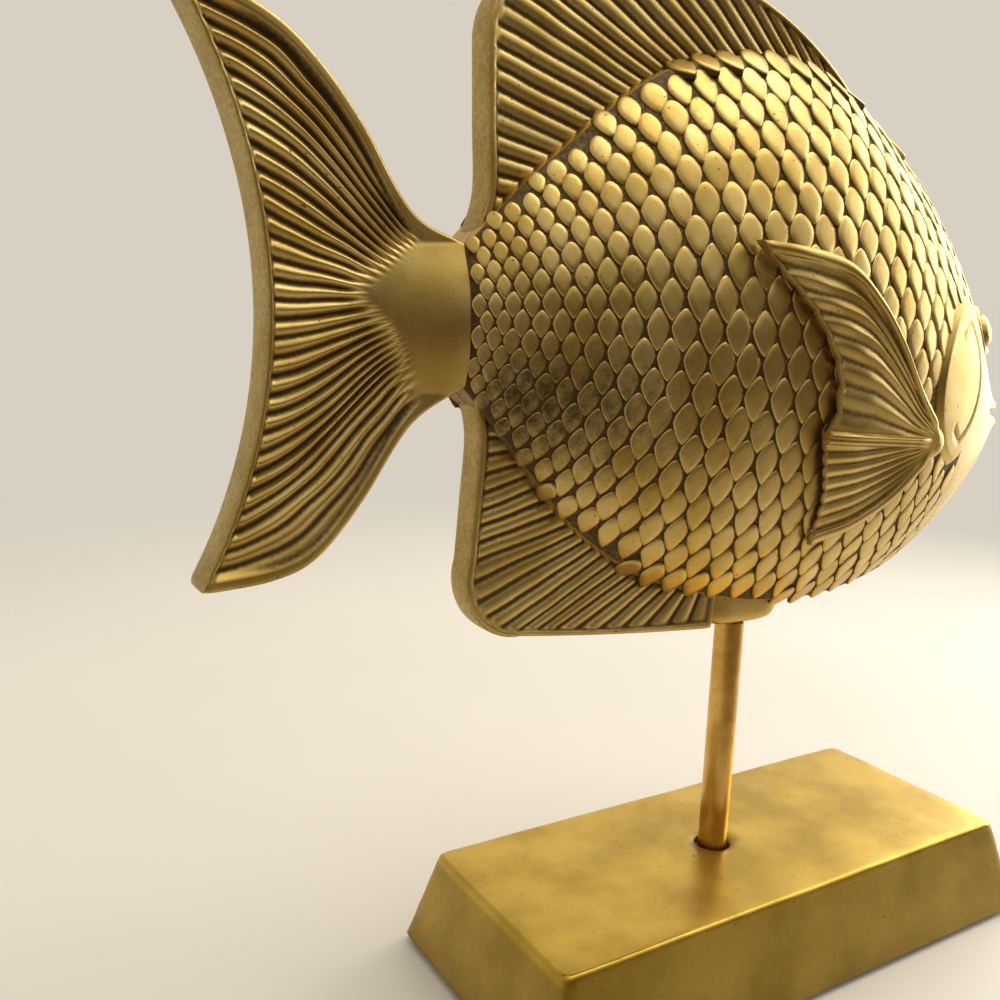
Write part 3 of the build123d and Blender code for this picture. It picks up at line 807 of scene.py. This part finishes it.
def tail_piece():
    rays, inner, outer = 29, 14, 62
    rows = rays * 10 + 1
    u = np.linspace(0, 1, rows)
    fan = smooth_curve(TAIL_FAN[:, 0], TAIL_FAN[:, 1:], u)
    leads = []
    for corners in (TAIL_UPPER, TAIL_LOWER):
        edge = smooth_curve(np.linspace(0, 1, len(corners)), corners, np.linspace(0, 1, 240))
        split = int(np.argmin(np.abs(edge[:, 0] + 98.5)))
        leads.append(np.concatenate([resample(edge[:split + 1], inner)[:-1], resample(edge[split:], outer)]))
    upper, lower = leads
    margin = arc_through(upper[-1], TAIL_FORK, lower[-1], 200)
    tips = resample(margin, rows, np.clip(fan[:, 4], 0, 1))
    feet = fan[:, :2]
    root = np.linspace(upper[0], lower[0], rows)
    chord = np.linalg.norm(tips - feet, axis=1, keepdims=True)
    leave, arrive = (
        np.stack([-np.cos(slope), np.sin(slope)], -1) * chord for slope in np.radians(fan[:, 2:4]).T
    )
    t = np.linspace(0, 1, outer)[None, :, None]
    bent = (
        (2 * t**3 - 3 * t**2 + 1) * feet[:, None] + (t**3 - 2 * t**2 + t) * leave[:, None]
        + (3 * t**2 - 2 * t**3) * tips[:, None] + (t**3 - t**2) * arrive[:, None]
    )
    straight = np.linspace(0, 1, inner)[None, :-1, None]
    grid = np.concatenate([root[:, None] * (1 - straight) + feet[:, None] * straight, bent], axis=1)
    # the outermost rays are drawn to the leading edges
    pull = np.clip(1 - u / 0.16, 0, 1)[:, None, None] ** 2
    grid = grid + pull * (upper - grid[0])[None] + pull[::-1] * (lower - grid[-1])[None]
    x, z = grid[..., 0], grid[..., 1]
    outwards = np.sign(np.arange(inner + outer - 1) - inner + 1)
    from_start = np.linalg.norm(grid - feet[:, None], axis=-1) * outwards
    to_edge = np.linalg.norm(grid - grid[:, -1:], axis=-1)
    to_lead = np.minimum(np.linalg.norm(grid - grid[:1], axis=-1), np.linalg.norm(grid - grid[-1:], axis=-1))
    swell = smoothstep(0, 7, from_start) * smoothstep(0.3, 1.4, to_edge) * smoothstep(1.8, 3.4, to_lead)
    web = smoothstep(0.3, 1.1, to_edge) * smoothstep(1.4, 2.8, to_lead) * smoothstep(-2, 8, from_start)
    saddle = np.interp(-x, [89, 101.7, 118], [9.15, 7.3, 2.0])
    tall = np.interp(-x, [89, 101.7, 118], [16.0, 15.0, 13.0])
    round_root = saddle * np.sqrt(np.clip(1 - (z / tall) ** 2, 0, 1))
    flat = TAIL_THICK / 2 - 0.7 * web
    soft = 1.6 * smoothstep(-118, -102, x)
    half = (flat + round_root) / 2 + np.sqrt(((flat - round_root) / 2) ** 2 + soft**2) - 0.3 * soft
    rough_groove = np.exp(-((to_lead - 2.7) / 1.0) ** 2) * smoothstep(4, 16, to_edge)
    brown = np.maximum(np.exp(-((to_edge - 0.7) / 0.45) ** 2), rough_groove)
    shade = 1 - 0.8 * brown * smoothstep(-2, 6, from_start)
    counted = np.broadcast_to((u * rays)[:, None], x.shape)
    piece = fin_plate("tail_fin_casting", grid, half, 0.0, counted, swell, shade, 0.9)
    return carved_fin(piece, 1.7, 1.5, 0.7, 3)


# Dorsal and anal fins: straight rays from the body's edge to the rim


def edge_fin(name, margin, pairs, rays, thick, depth, seed):
    """A fin whose rays run between pairs of points, on its margin and on the body's edge, and into the body."""
    columns = 44
    rows = rays * 10 + 1
    u = np.linspace(0, 1, rows)
    pairs = np.array(pairs, float)
    length = np.concatenate([[0], np.cumsum(np.linalg.norm(np.diff(margin, axis=0), axis=1))])
    shares = [length[np.argmin(np.linalg.norm(margin - p, axis=1))] / length[-1] for p in pairs[:, :2]]
    way = pairs[:, 2:] - pairs[:, :2]
    roots = pairs[:, 2:] + 6.0 * way / np.linalg.norm(way, axis=1, keepdims=True)
    closer = np.interp(pairs[1:, 0], [-75, -40], [1.5, 1.0])
    gaps = np.linalg.norm(np.diff(pairs[:, :2] + pairs[:, 2:], axis=0), axis=1) * closer
    knots = np.concatenate([[0], np.cumsum(gaps)]) / np.sum(gaps)
    tips = resample(margin, rows, np.clip(np.interp(u, knots, shares), 0, 1))
    feet = np.stack([np.interp(u, knots, roots[:, k]) for k in (0, 1)], -1)
    for _ in range(12):
        feet[1:-1] = (feet[:-2] + 2 * feet[1:-1] + feet[2:]) / 4
    t = np.linspace(0, 1, columns)
    grid = feet[:, None] * (1 - t)[None, :, None] + tips[:, None] * t[None, :, None]
    to_edge = np.linalg.norm(grid - tips[:, None], axis=-1)
    to_end = np.minimum(np.linalg.norm(grid - grid[:1], axis=-1), np.linalg.norm(grid - grid[-1:], axis=-1))
    rim = np.minimum(to_edge, to_end)
    swell = smoothstep(0.9, 2.2, rim)
    half = thick / 2 - 0.6 * smoothstep(0.8, 1.8, rim)
    shade = 1 - 0.8 * np.exp(-((rim - 1.4) / 0.6) ** 2)
    counted = np.broadcast_to((u * rays)[:, None], half.shape)
    piece = fin_plate(name, grid, half, 0.0, counted, swell, shade, 0.9)
    return carved_fin(piece, depth, 2.0, 0.35, seed)


def dorsal_piece():
    rear = -84.2
    edge = [(-87.0, 15.5), (-83.2, 26.8), (-83.6, 42.0), (rear, 58.0)]
    side = smooth_curve(np.linspace(0, 1, 4), np.array(edge), np.linspace(0, 1, 60))
    corner = arc_through((rear, 58.0), (-80.2, 69.3), (-69.4, 74.3), 40)
    crest = arc_through((-69.4, 74.3), (-28.0, 81.6), (35.9, 51.8), 160)
    margin = np.concatenate([side, corner[1:], crest[1:]])
    return edge_fin("dorsal_fin_casting", margin, [
        (-86.5, 16, -84, 15), (-84, 30, -75, 29), (-84, 45, -63, 40), (-84.2, 60, -50, 51),
        (-75, 74, -38, 58), (-48, 80, -20, 63), (-15, 80, 2, 65), (8, 73, 18, 62), (35.9, 51.8, 37, 50),
    ], 31, 8.0, 1.0, 11)


def anal_piece():
    rear = -84.8
    edge = [(-86.4, -13.0), (-83.2, -24.5), (-83.9, -40.0), (rear, -54.0)]
    side = smooth_curve(np.linspace(0, 1, 4), np.array(edge), np.linspace(0, 1, 60))
    corner = arc_through((rear, -54.0), (-82.0, -67.1), (-70.6, -71.9), 40)
    bottom = arc_through((-70.6, -71.9), (-33.5, -75.9), (-11.0, -77.6), 100)
    margin = np.concatenate([side, corner[1:], bottom[1:]])
    return edge_fin("anal_fin_casting", margin, [
        (-87, -15, -84, -16), (-83.5, -28, -76, -27), (-84, -42, -68, -37), (-84.8, -54, -58, -47),
        (-79, -69, -48, -54), (-60, -73.5, -36, -61), (-38, -75.5, -24, -65), (-11, -77.6, -10, -69),
    ], 24, 8.0, 0.95, 17)


# Pectoral fins: two-lobed curved fans off the flanks

PECTORAL_ROOT, PECTORAL_REACH, PECTORAL_UPPER, PECTORAL_LOWER = (34.0, -26.0), 63.5, 46.5, 27.5
PECTORAL_GAP, PECTORAL_THICK, PECTORAL_KNOB = 2.0, 3.5, 4.6


def merged(first, *others):
    """Joins meshes of one casting into the first piece."""
    with bpy.context.temp_override(active_object=first, selected_editable_objects=[first, *others]):
        bpy.ops.object.join()
    return first


def fan(shape, bend, margin, columns):
    """Rays from the root to the points of a margin, each bent like the shape's line as much as bend says."""
    root = np.array(PECTORAL_ROOT)
    chord = shape[-1] - root
    local = (resample(shape, columns) - root) / np.linalg.norm(chord)
    ahead = chord / np.linalg.norm(chord)
    along, across = local @ ahead, local @ np.array([-ahead[1], ahead[0]])
    reach = margin - root
    sideways = np.stack([-reach[:, 1], reach[:, 0]], -1)
    straight = root + along[None, :, None] * reach[:, None]
    return straight + (bend[:, None] * across)[..., None] * sideways[:, None]


def pectoral_lobe(name, shape, bend, margin, rays, rims, step, depth, seed):
    """A lobe of rays that fan out to its margin; rims are the widths of its rounded edge rays."""
    columns, rows = 50, rays * 14 + 1
    u = np.linspace(0, 1, rows)[:, None]
    t = np.linspace(0, 1, columns)[None, :]
    grid = fan(shape, bend(u[:, 0]), resample(margin, rows), columns)
    first = np.linalg.norm(grid - grid[:1], axis=-1)
    last = np.linalg.norm(grid - grid[-1:], axis=-1)
    inside = smoothstep(rims[0], rims[0] + 0.9, first) * smoothstep(rims[1], rims[1] + 0.9, last)
    # each ray ends in a tip, so the trailing edge is notched at the grooves
    notch = np.abs(2 * (u * rays % 1) - 1) ** 2 * smoothstep(0.8, 1.0, t) * inside
    back = grid[:, -1:] - grid[:, -6:-5]
    grid = grid - 0.8 * notch[..., None] * back / np.linalg.norm(back, axis=-1, keepdims=True)
    x, z = grid[..., 0], grid[..., 1]
    to_edge = np.linalg.norm(grid - grid[:, -1:], axis=-1)
    off_root = np.hypot(x - PECTORAL_ROOT[0], z - PECTORAL_ROOT[1])
    away = smoothstep(3.0, 13.0, off_root)
    bead = np.maximum(*[
        np.sqrt(np.clip(1 - ((gap - width / 2) / (width / 2 + 0.3)) ** 2, 0, 1))
        for gap, width in ((first, rims[0]), (last, rims[1]))
    ])
    swell = 0.7 * away * inside
    inner = flank_at(x, z, PECTORAL_GAP)
    taper = 0.5 + 0.5 * smoothstep(0.0, 9.0, to_edge)
    outer = inner + taper * (flank_at(x, z, PECTORAL_GAP + PECTORAL_THICK) - inner)
    outer = outer + (0.9 * bead + step) * smoothstep(3.0, 8.0, off_root) - 0.4 * swell
    outer = outer + 1.8 * np.exp(-((off_root / 8.0) ** 2))
    half, middle = (outer - inner) / 2, -(outer + inner) / 2
    shade = 1 - 0.75 * np.exp(-((inside - 0.4) / 0.3) ** 2) * away
    piece = fin_plate(name, grid, half, middle, np.broadcast_to(u * rays, x.shape), swell, shade, 0.5)
    return carved_fin(piece, depth, 1.3, 0.3, seed)


def pectoral_piece():
    """Upper lobe with ridges bent like its leading rim, lower lobe with straight fine rays."""
    rx, rz = PECTORAL_ROOT

    def edge(shape, height):
        points = np.array([(rx - along * PECTORAL_REACH, rz + up * height) for along, up in shape])
        return smooth_curve(np.linspace(0, 1, len(points)), points, np.linspace(0, 1, 90))

    lead = edge([
        (0, 0), (0.06, 0.12), (0.205, 0.325), (0.34, 0.56), (0.48, 0.765), (0.65, 0.92), (0.985, 0.985),
    ], PECTORAL_UPPER)
    trail = edge([
        (0.985, 0.985), (0.87, 0.835), (0.75, 0.685), (0.655, 0.525), (0.59, 0.36), (0.568, 0.15), (0.605, 0.045),
    ], PECTORAL_UPPER)
    rear = edge([(0.6, 0.06), (0.55, -0.22), (0.495, -0.51), (0.45, -0.98)], PECTORAL_LOWER)
    under = edge([(0, 0), (0.11, -0.48), (0.27, -0.79), (0.45, -0.98)], PECTORAL_LOWER)
    upper = pectoral_lobe("near_pectoral_casting", lead, lambda u: 1 - u, trail, 8, (2.8, 0.8), 0.5, 1.5, 23)
    lower = pectoral_lobe("pectoral_lower_lobe", under, lambda u: u**1.5, rear, 8, (1.2, 2.2), 0.0, 0.9, 29)
    return merged(upper, lower)


def knob_piece():
    """The swelling at the pectoral fin's root, joined to it as one casting."""
    rx, rz = PECTORAL_ROOT
    rings, around = 16, 32
    lat = np.linspace(-np.pi / 2, np.pi / 2, rings)[:, None]
    lon = np.linspace(0, 2 * np.pi, around, endpoint=False)[None, :]
    squash = np.array([1.15, 1.0, 1.1]) * (PECTORAL_KNOB - 0.2)
    ball = np.stack([np.cos(lat) * np.cos(lon), np.sin(lat) + 0 * lon, np.cos(lat) * np.sin(lon)], -1)
    ball = ball * squash
    points = ball[1:-1].reshape(-1, 3)
    points = np.concatenate([points, ball[0, :1], ball[-1, :1]]) + (rx - 0.5, -FLANK, AXIS + rz)
    faces = [tuple(f) for f in grid_faces(rings - 2, around, closed=True)]
    south, north = (rings - 2) * around, (rings - 2) * around + 1
    faces += [(k, (k + 1) % around, south)[::-1] for k in range(around)][::-1]
    top = (rings - 3) * around
    faces += [(top + k, top + (k + 1) % around, north) for k in range(around)]
    return make_piece("pectoral_knob", points, faces, {"polish": np.ones(len(points))})


tail = tail_piece()
dorsal = dorsal_piece()
anal = anal_piece()
near_pectoral = merged(pectoral_piece(), face_outwards(knob_piece()))
far_pectoral = mirrored(near_pectoral, "far_pectoral_casting")
for piece, node in ((tail, "tail_fin"), (dorsal, "dorsal_fin"), (anal, "anal_fin"),
                    (near_pectoral, "near_pectoral_fin"), (far_pectoral, "far_pectoral_fin")):
    dress(piece, node, "fish", cast_brass)


# Belly boss: a rounded lump under the belly

BOSS_HALF, BOSS_SHIFT, BOSS_RISE = (13.4, 5.0, 10.95), 1.5, 11.0


def boss_piece():
    rings, around = 28, 48
    lat = np.linspace(-np.pi / 2, np.pi / 2, rings)[:, None]
    lon = np.linspace(0, 2 * np.pi, around, endpoint=False)[None, :]
    power = lambda value, p: np.sign(value) * np.abs(value) ** p
    ball = np.stack([
        power(np.cos(lat), 0.35) * power(np.cos(lon), 0.55),
        power(np.cos(lat), 0.35) * power(np.sin(lon), 0.6),
        power(np.sin(lat), 0.35) + 0 * lon,
    ], -1)
    points = ball[1:-1].reshape(-1, 3)
    points = np.concatenate([points, ball[0, :1], ball[-1, :1]]) * BOSS_HALF
    points = points + (BOSS_SHIFT, 0, POST_TOP + BOSS_RISE)
    faces = [tuple(f) for f in grid_faces(rings - 2, around, closed=True)]
    south, north = (rings - 2) * around, (rings - 2) * around + 1
    faces += [(k, south, (k + 1) % around) for k in range(around)]
    top = (rings - 3) * around
    faces += [(top + k, top + (k + 1) % around, north) for k in range(around)]
    return face_outwards(make_piece("belly_boss_casting", points, faces, {"polish": np.ones(len(points))}))


dress(boss_piece(), "belly_boss", "fish", cast_brass)


# Post: a turned rod


def post_piece():
    profile = [
        (0.0, STUD_BOTTOM), (STUD_RADIUS - STUD_CHAMFER, STUD_BOTTOM),
        (STUD_RADIUS, STUD_BOTTOM + STUD_CHAMFER),
        (STUD_RADIUS, POST_FOOT), (POST_RADIUS - 0.3, POST_FOOT), (POST_RADIUS, POST_FOOT + 0.3),
        *[(POST_RADIUS, h) for h in np.linspace(POST_FOOT + 3, POST_TOP - 3, 12)],
        (POST_RADIUS, POST_TOP - 0.3), (POST_RADIUS - 0.3, POST_TOP), (STUD_RADIUS, POST_TOP),
        (STUD_RADIUS, STUD_TOP - STUD_CHAMFER), (STUD_RADIUS - STUD_CHAMFER, STUD_TOP), (0.0, STUD_TOP),
    ]
    around = 40
    lon = np.linspace(0, 2 * np.pi, around, endpoint=False)
    rings = np.array([[(r * np.cos(a), r * np.sin(a), h) for a in lon] for r, h in profile[1:-1]])
    points = np.concatenate([rings.reshape(-1, 3), [(0, 0, STUD_BOTTOM), (0, 0, STUD_TOP)]])
    count = len(rings)
    faces = [tuple(f) for f in grid_faces(count, around, closed=True)]
    low, high = count * around, count * around + 1
    faces += [(k, low, (k + 1) % around) for k in range(around)]
    top = (count - 1) * around
    faces += [(top + k, top + (k + 1) % around, high) for k in range(around)]
    piece = face_outwards(make_piece("turned_post", points, faces))
    piece.data.set_sharp_from_angle(angle=0.6)
    return piece


dress(post_piece(), "post", "stand", rod_brass)


# Base: a bevelled block with softened, slightly uneven edges, hollow below


def rounded_rectangle(length, width, corner, count):
    """Points round a rectangle with rounded corners, evenly spaced, about its own centre."""
    lx, ly = length / 2 - corner, width / 2 - corner
    parts = []
    for sx, sy, a in ((1, 1, 0), (-1, 1, 90), (-1, -1, 180), (1, -1, 270)):
        turn = np.radians(a + np.linspace(0, 90, 12))
        parts.append(np.stack([sx * lx + corner * np.cos(turn), sy * ly + corner * np.sin(turn)], -1))
    loop = np.concatenate([*parts, parts[0][:1]])
    return resample(loop, count + 1)[:-1]


def base_piece():
    count = 240
    low_l, low_w = BASE_LENGTH + 2 * BASE_END_LEAN, BASE_WIDTH + 2 * BASE_SIDE_LEAN
    roof = BASE_HEIGHT - BASE_ROOF
    centre = np.array([BASE_SHIFT, 0.0])
    rings = []

    def ring(length, width, corner, height):
        outline = rounded_rectangle(length, width, corner, count) + centre
        rings.append(np.column_stack([outline, np.full(count, height)]))

    def hole(radius, height):
        angle = np.arctan2(rings[-1][:, 1], rings[-1][:, 0])
        around = np.stack([np.cos(angle), np.sin(angle)], -1) * radius
        rings.append(np.column_stack([around, np.full(count, height)]))

    ring(BASE_LENGTH - 2 * BASE_WALL, BASE_WIDTH - 2 * BASE_WALL, 3.0, roof)
    ring(low_l - 2 * BASE_WALL, low_w - 2 * BASE_WALL, 3.0, FELT)
    ring(low_l - 0.8, low_w - 0.8, 2.4, FELT)
    ring(low_l - 0.1, low_w - 0.1, 2.6, FELT + 0.6)
    for share in np.linspace(0.06, 0.9, 14):
        in_x, in_y = 2 * BASE_END_LEAN * share, 2 * BASE_SIDE_LEAN * share
        ring(low_l - in_x, low_w - in_y, 2.6, FELT + (BASE_HEIGHT - FELT) * share)
    for turn in np.radians(np.linspace(15, 90, 7)):
        drop_by, in_by = 1.4 * (1 - np.sin(turn)), 1.3 * (1 - np.cos(turn))
        ring(BASE_LENGTH + 0.6 - 2 * in_by, BASE_WIDTH + 0.6 - 2 * in_by, 2.8, BASE_HEIGHT - drop_by)
    edge = rings[-1].copy()
    hole(SEAT_RADIUS + 0.4, BASE_HEIGHT)
    seat = rings.pop()
    for share in np.linspace(0.06, 0.94, 16):
        rings.append(edge * (1 - share) + seat * share)
    rings.append(seat)
    hole(SEAT_RADIUS, BASE_HEIGHT - 0.4)
    hole(SEAT_RADIUS, POST_FOOT)
    hole(HOLE_RADIUS, POST_FOOT)
    hole(HOLE_RADIUS, roof)
    points = np.concatenate(rings)
    # hand-finished faces: waves of a few tenths of a millimetre, none at the bottom edge or in the hole
    x, y, z = points.T
    wave = 0.16 * np.sin(x / 19.0 + 1.3) * np.cos(y / 13.0 - 0.4) + 0.10 * np.sin(x / 7.7 + y / 9.1)
    calm = smoothstep(SEAT_RADIUS + 2, SEAT_RADIUS + 12, np.hypot(x, y)) * smoothstep(FELT + 1, FELT + 6, z)
    outer = np.arange(len(points)) >= 2 * count
    points[:, 2] -= np.where(outer, (np.abs(wave) + 0.03) * calm * smoothstep(20, 27, z), 0)
    points[:, 1] *= np.where(outer & (z < 27), 1 - 0.004 * np.abs(wave) * calm, 1)
    faces = [tuple(f) for f in grid_faces(len(rings), count, closed=True)]
    last = (len(rings) - 1) * count
    faces += [(last + k, last + (k + 1) % count, (k + 1) % count, k) for k in range(count)]
    # polish rises with height: the sides are browner than the top and browner towards the bottom, and the band on the
    # rounded top edge is a painted highlight
    polish = np.interp(points[:, 2], [FELT, 10.0, 25.6, 26.8, BASE_HEIGHT], [0.46, 0.55, 0.58, 1.0, 0.9])
    polish = polish - 0.5 * np.exp(-((np.hypot(x, y) - SEAT_RADIUS) / 1.5) ** 2)
    piece = face_outwards(make_piece("bevelled_base", points, faces, {"polish": polish}))
    piece.data.set_sharp_from_angle(angle=0.9)
    return piece


dress(base_piece(), "base_casting", "stand", base_brass)


def felt_piece():
    length = BASE_LENGTH + 2 * (BASE_END_LEAN - FELT_INSET)
    width = BASE_WIDTH + 2 * (BASE_SIDE_LEAN - FELT_INSET)
    count, shares = 160, (0.0, 0.35, 0.7, 0.94, 0.99, 1.0)
    outline = rounded_rectangle(length, width, FELT_CORNER, count)
    heights = {1.0: 0.35, 0.99: 0.1}
    under = [(s, heights.get(s, 0.0)) for s in shares]
    over = [(s, FELT - heights.get(s, 0.0)) for s in shares[::-1]]
    rings = [np.column_stack([outline * max(s, 0.02), np.full(count, h)]) for s, h in under + over]
    points = np.concatenate(rings) + (BASE_SHIFT, 0, 0)
    faces = [tuple(f) for f in grid_faces(len(rings), count, closed=True)]
    faces.append(tuple(range(count)))
    faces.append(tuple((len(rings) - 1) * count + k for k in range(count)))
    piece = face_outwards(make_piece("felt_foot", points, faces))
    dress(piece, "felt_pad", "stand", felt)
    return piece


felt_piece()

# Washers and nut keep their solids and get the rod's finish
for node in ("plain_washer", "spring_washer", "hex_nut"):
    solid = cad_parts[node]
    for place in solid.material_slots:
        place.material = rod_brass

# Stage: pale floor, soft light from above and from the right, a darker room on the viewer's side


BACKDROP = "#ddd5c7"
BACKDROP_STRENGTH = 0.95


def floor_piece():
    """A round pale board that fades into the backdrop's colour at its edge."""
    reach, around = 800.0, 96
    turn = np.linspace(0, 2 * np.pi, around, endpoint=False)
    rim = [(reach * np.cos(a), reach * np.sin(a), 0) for a in turn]
    floor = make_piece("floor", rim, [tuple(range(around))])
    paint = bpy.data.materials.new("white_painted_board")
    paint.use_nodes = True
    tree = paint.node_tree
    shader = tree.nodes["Principled BSDF"]
    place = add_node(tree, "ShaderNodeTexCoord").outputs["Object"]
    colour = add_node(tree, "ShaderNodeValToRGB", {"Fac": noise(tree, place, 120.0, 3.0)})
    colour.color_ramp.elements[0].color = linear("#d8d4cb")
    colour.color_ramp.elements[1].color = linear("#e0dcd4")
    seen = add_node(tree, "ShaderNodeLightPath").outputs["Is Camera Ray"]
    # the fish reflects a dark room on the viewer's side, so the board is dark there except to the camera
    forward = add_node(tree, "ShaderNodeSeparateXYZ", {0: place}).outputs["Y"]
    behind = ramp(tree, forward, -0.22, -0.02, kind="SMOOTHSTEP")
    lit = math(tree, "MAXIMUM", behind, seen)
    toned = mixed(tree, lit, linear("#7d7364"), colour.outputs["Color"])
    tree.links.new(toned, shader.inputs["Base Color"])
    shader.inputs["Roughness"].default_value = 0.6
    away = add_node(tree, "ShaderNodeVectorMath", {0: place}, operation="LENGTH").outputs["Value"]
    fade = ramp(tree, away, 0.3, 0.78, kind="SMOOTHSTEP")
    faded = math(tree, "MULTIPLY", fade, seen)
    glow = add_node(tree, "ShaderNodeEmission", {"Color": linear(BACKDROP), "Strength": BACKDROP_STRENGTH})
    both = add_node(tree, "ShaderNodeMixShader", {0: faded, 1: shader.outputs[0], 2: glow.outputs[0]})
    tree.links.new(both.outputs[0], tree.nodes["Material Output"].inputs["Surface"])
    floor.data.materials.append(paint)


floor_piece()


def area_light(name, at, aim, size, power, tint):
    lamp = bpy.data.lights.new(name, "AREA")
    lamp.shape, lamp.size, lamp.energy, lamp.color = "DISK", size, power, linear(tint)[:3]
    made = bpy.data.objects.new(name, lamp)
    made.location = at
    direction = np.array(aim, float) - np.array(at, float)
    made.rotation_euler = Vector(direction).to_track_quat("-Z", "Y").to_euler()
    bpy.context.scene.collection.objects.link(made)


area_light("key_from_above", (0.35, -0.1, 1.1), (0, 0, 0.15), 0.9, 5.5, "#fffaf2")
area_light("fill_from_right", (1.1, 0.05, 0.4), (0.05, 0, 0.15), 1.1, 11.0, "#fffaf2")


def studio_world():
    world = bpy.data.worlds.new("studio")
    world.use_nodes = True
    tree = world.node_tree
    back = tree.nodes["Background"]
    way = add_node(tree, "ShaderNodeTexCoord").outputs["Generated"]
    split = add_node(tree, "ShaderNodeSeparateXYZ", {0: way})
    front = add_node(tree, "ShaderNodeVectorMath", {0: way, 1: (0.45, -0.89, 0.0)}, operation="DOT_PRODUCT")
    facing = ramp(tree, front.outputs["Value"], -0.2, 0.4, kind="SMOOTHSTEP")
    low = ramp(tree, split.outputs["Z"], 0.12, 0.55, 1.0, 0.0, kind="SMOOTHSTEP")
    dark = math(tree, "MULTIPLY", facing, low)
    seen = add_node(tree, "ShaderNodeLightPath").outputs["Is Camera Ray"]
    unseen = math(tree, "SUBTRACT", 1.0, seen)
    shade = math(tree, "MULTIPLY", dark, unseen)
    tree.links.new(mixed(tree, shade, linear(BACKDROP), linear("#443a2c")), back.inputs["Color"])
    side = add_node(tree, "ShaderNodeVectorMath", {0: way, 1: (0.95, 0.3, 0.0)}, operation="DOT_PRODUCT")
    window = ramp(tree, side.outputs["Value"], 0.2, 0.95, kind="SMOOTHSTEP")
    extra = math(tree, "MULTIPLY", window, unseen)
    level = math(tree, "MULTIPLY_ADD", extra, 0.7, BACKDROP_STRENGTH)
    tree.links.new(level, back.inputs["Strength"])
    bpy.context.scene.world = world


studio_world()
bpy.context.scene.view_settings.view_transform = "Standard"

# Camera: low behind the tail, on the fish's near side
lens = bpy.data.cameras.new("camera")
lens.lens, lens.sensor_width = 35.706, 36.0
lens.clip_start = 0.01
camera = bpy.data.objects.new("camera", lens)
right, up, ahead = (0.85565, -0.51618, 0.03749), (0.05644, 0.16507, 0.98465), (0.51448, 0.84040, -0.17037)
eye = (-0.1932, -0.1919, 0.1705)
camera.matrix_world = Matrix([[right[i], up[i], -ahead[i], eye[i]] for i in range(3)] + [[0, 0, 0, 1]])
bpy.context.scene.collection.objects.link(camera)
bpy.context.scene.camera = camera
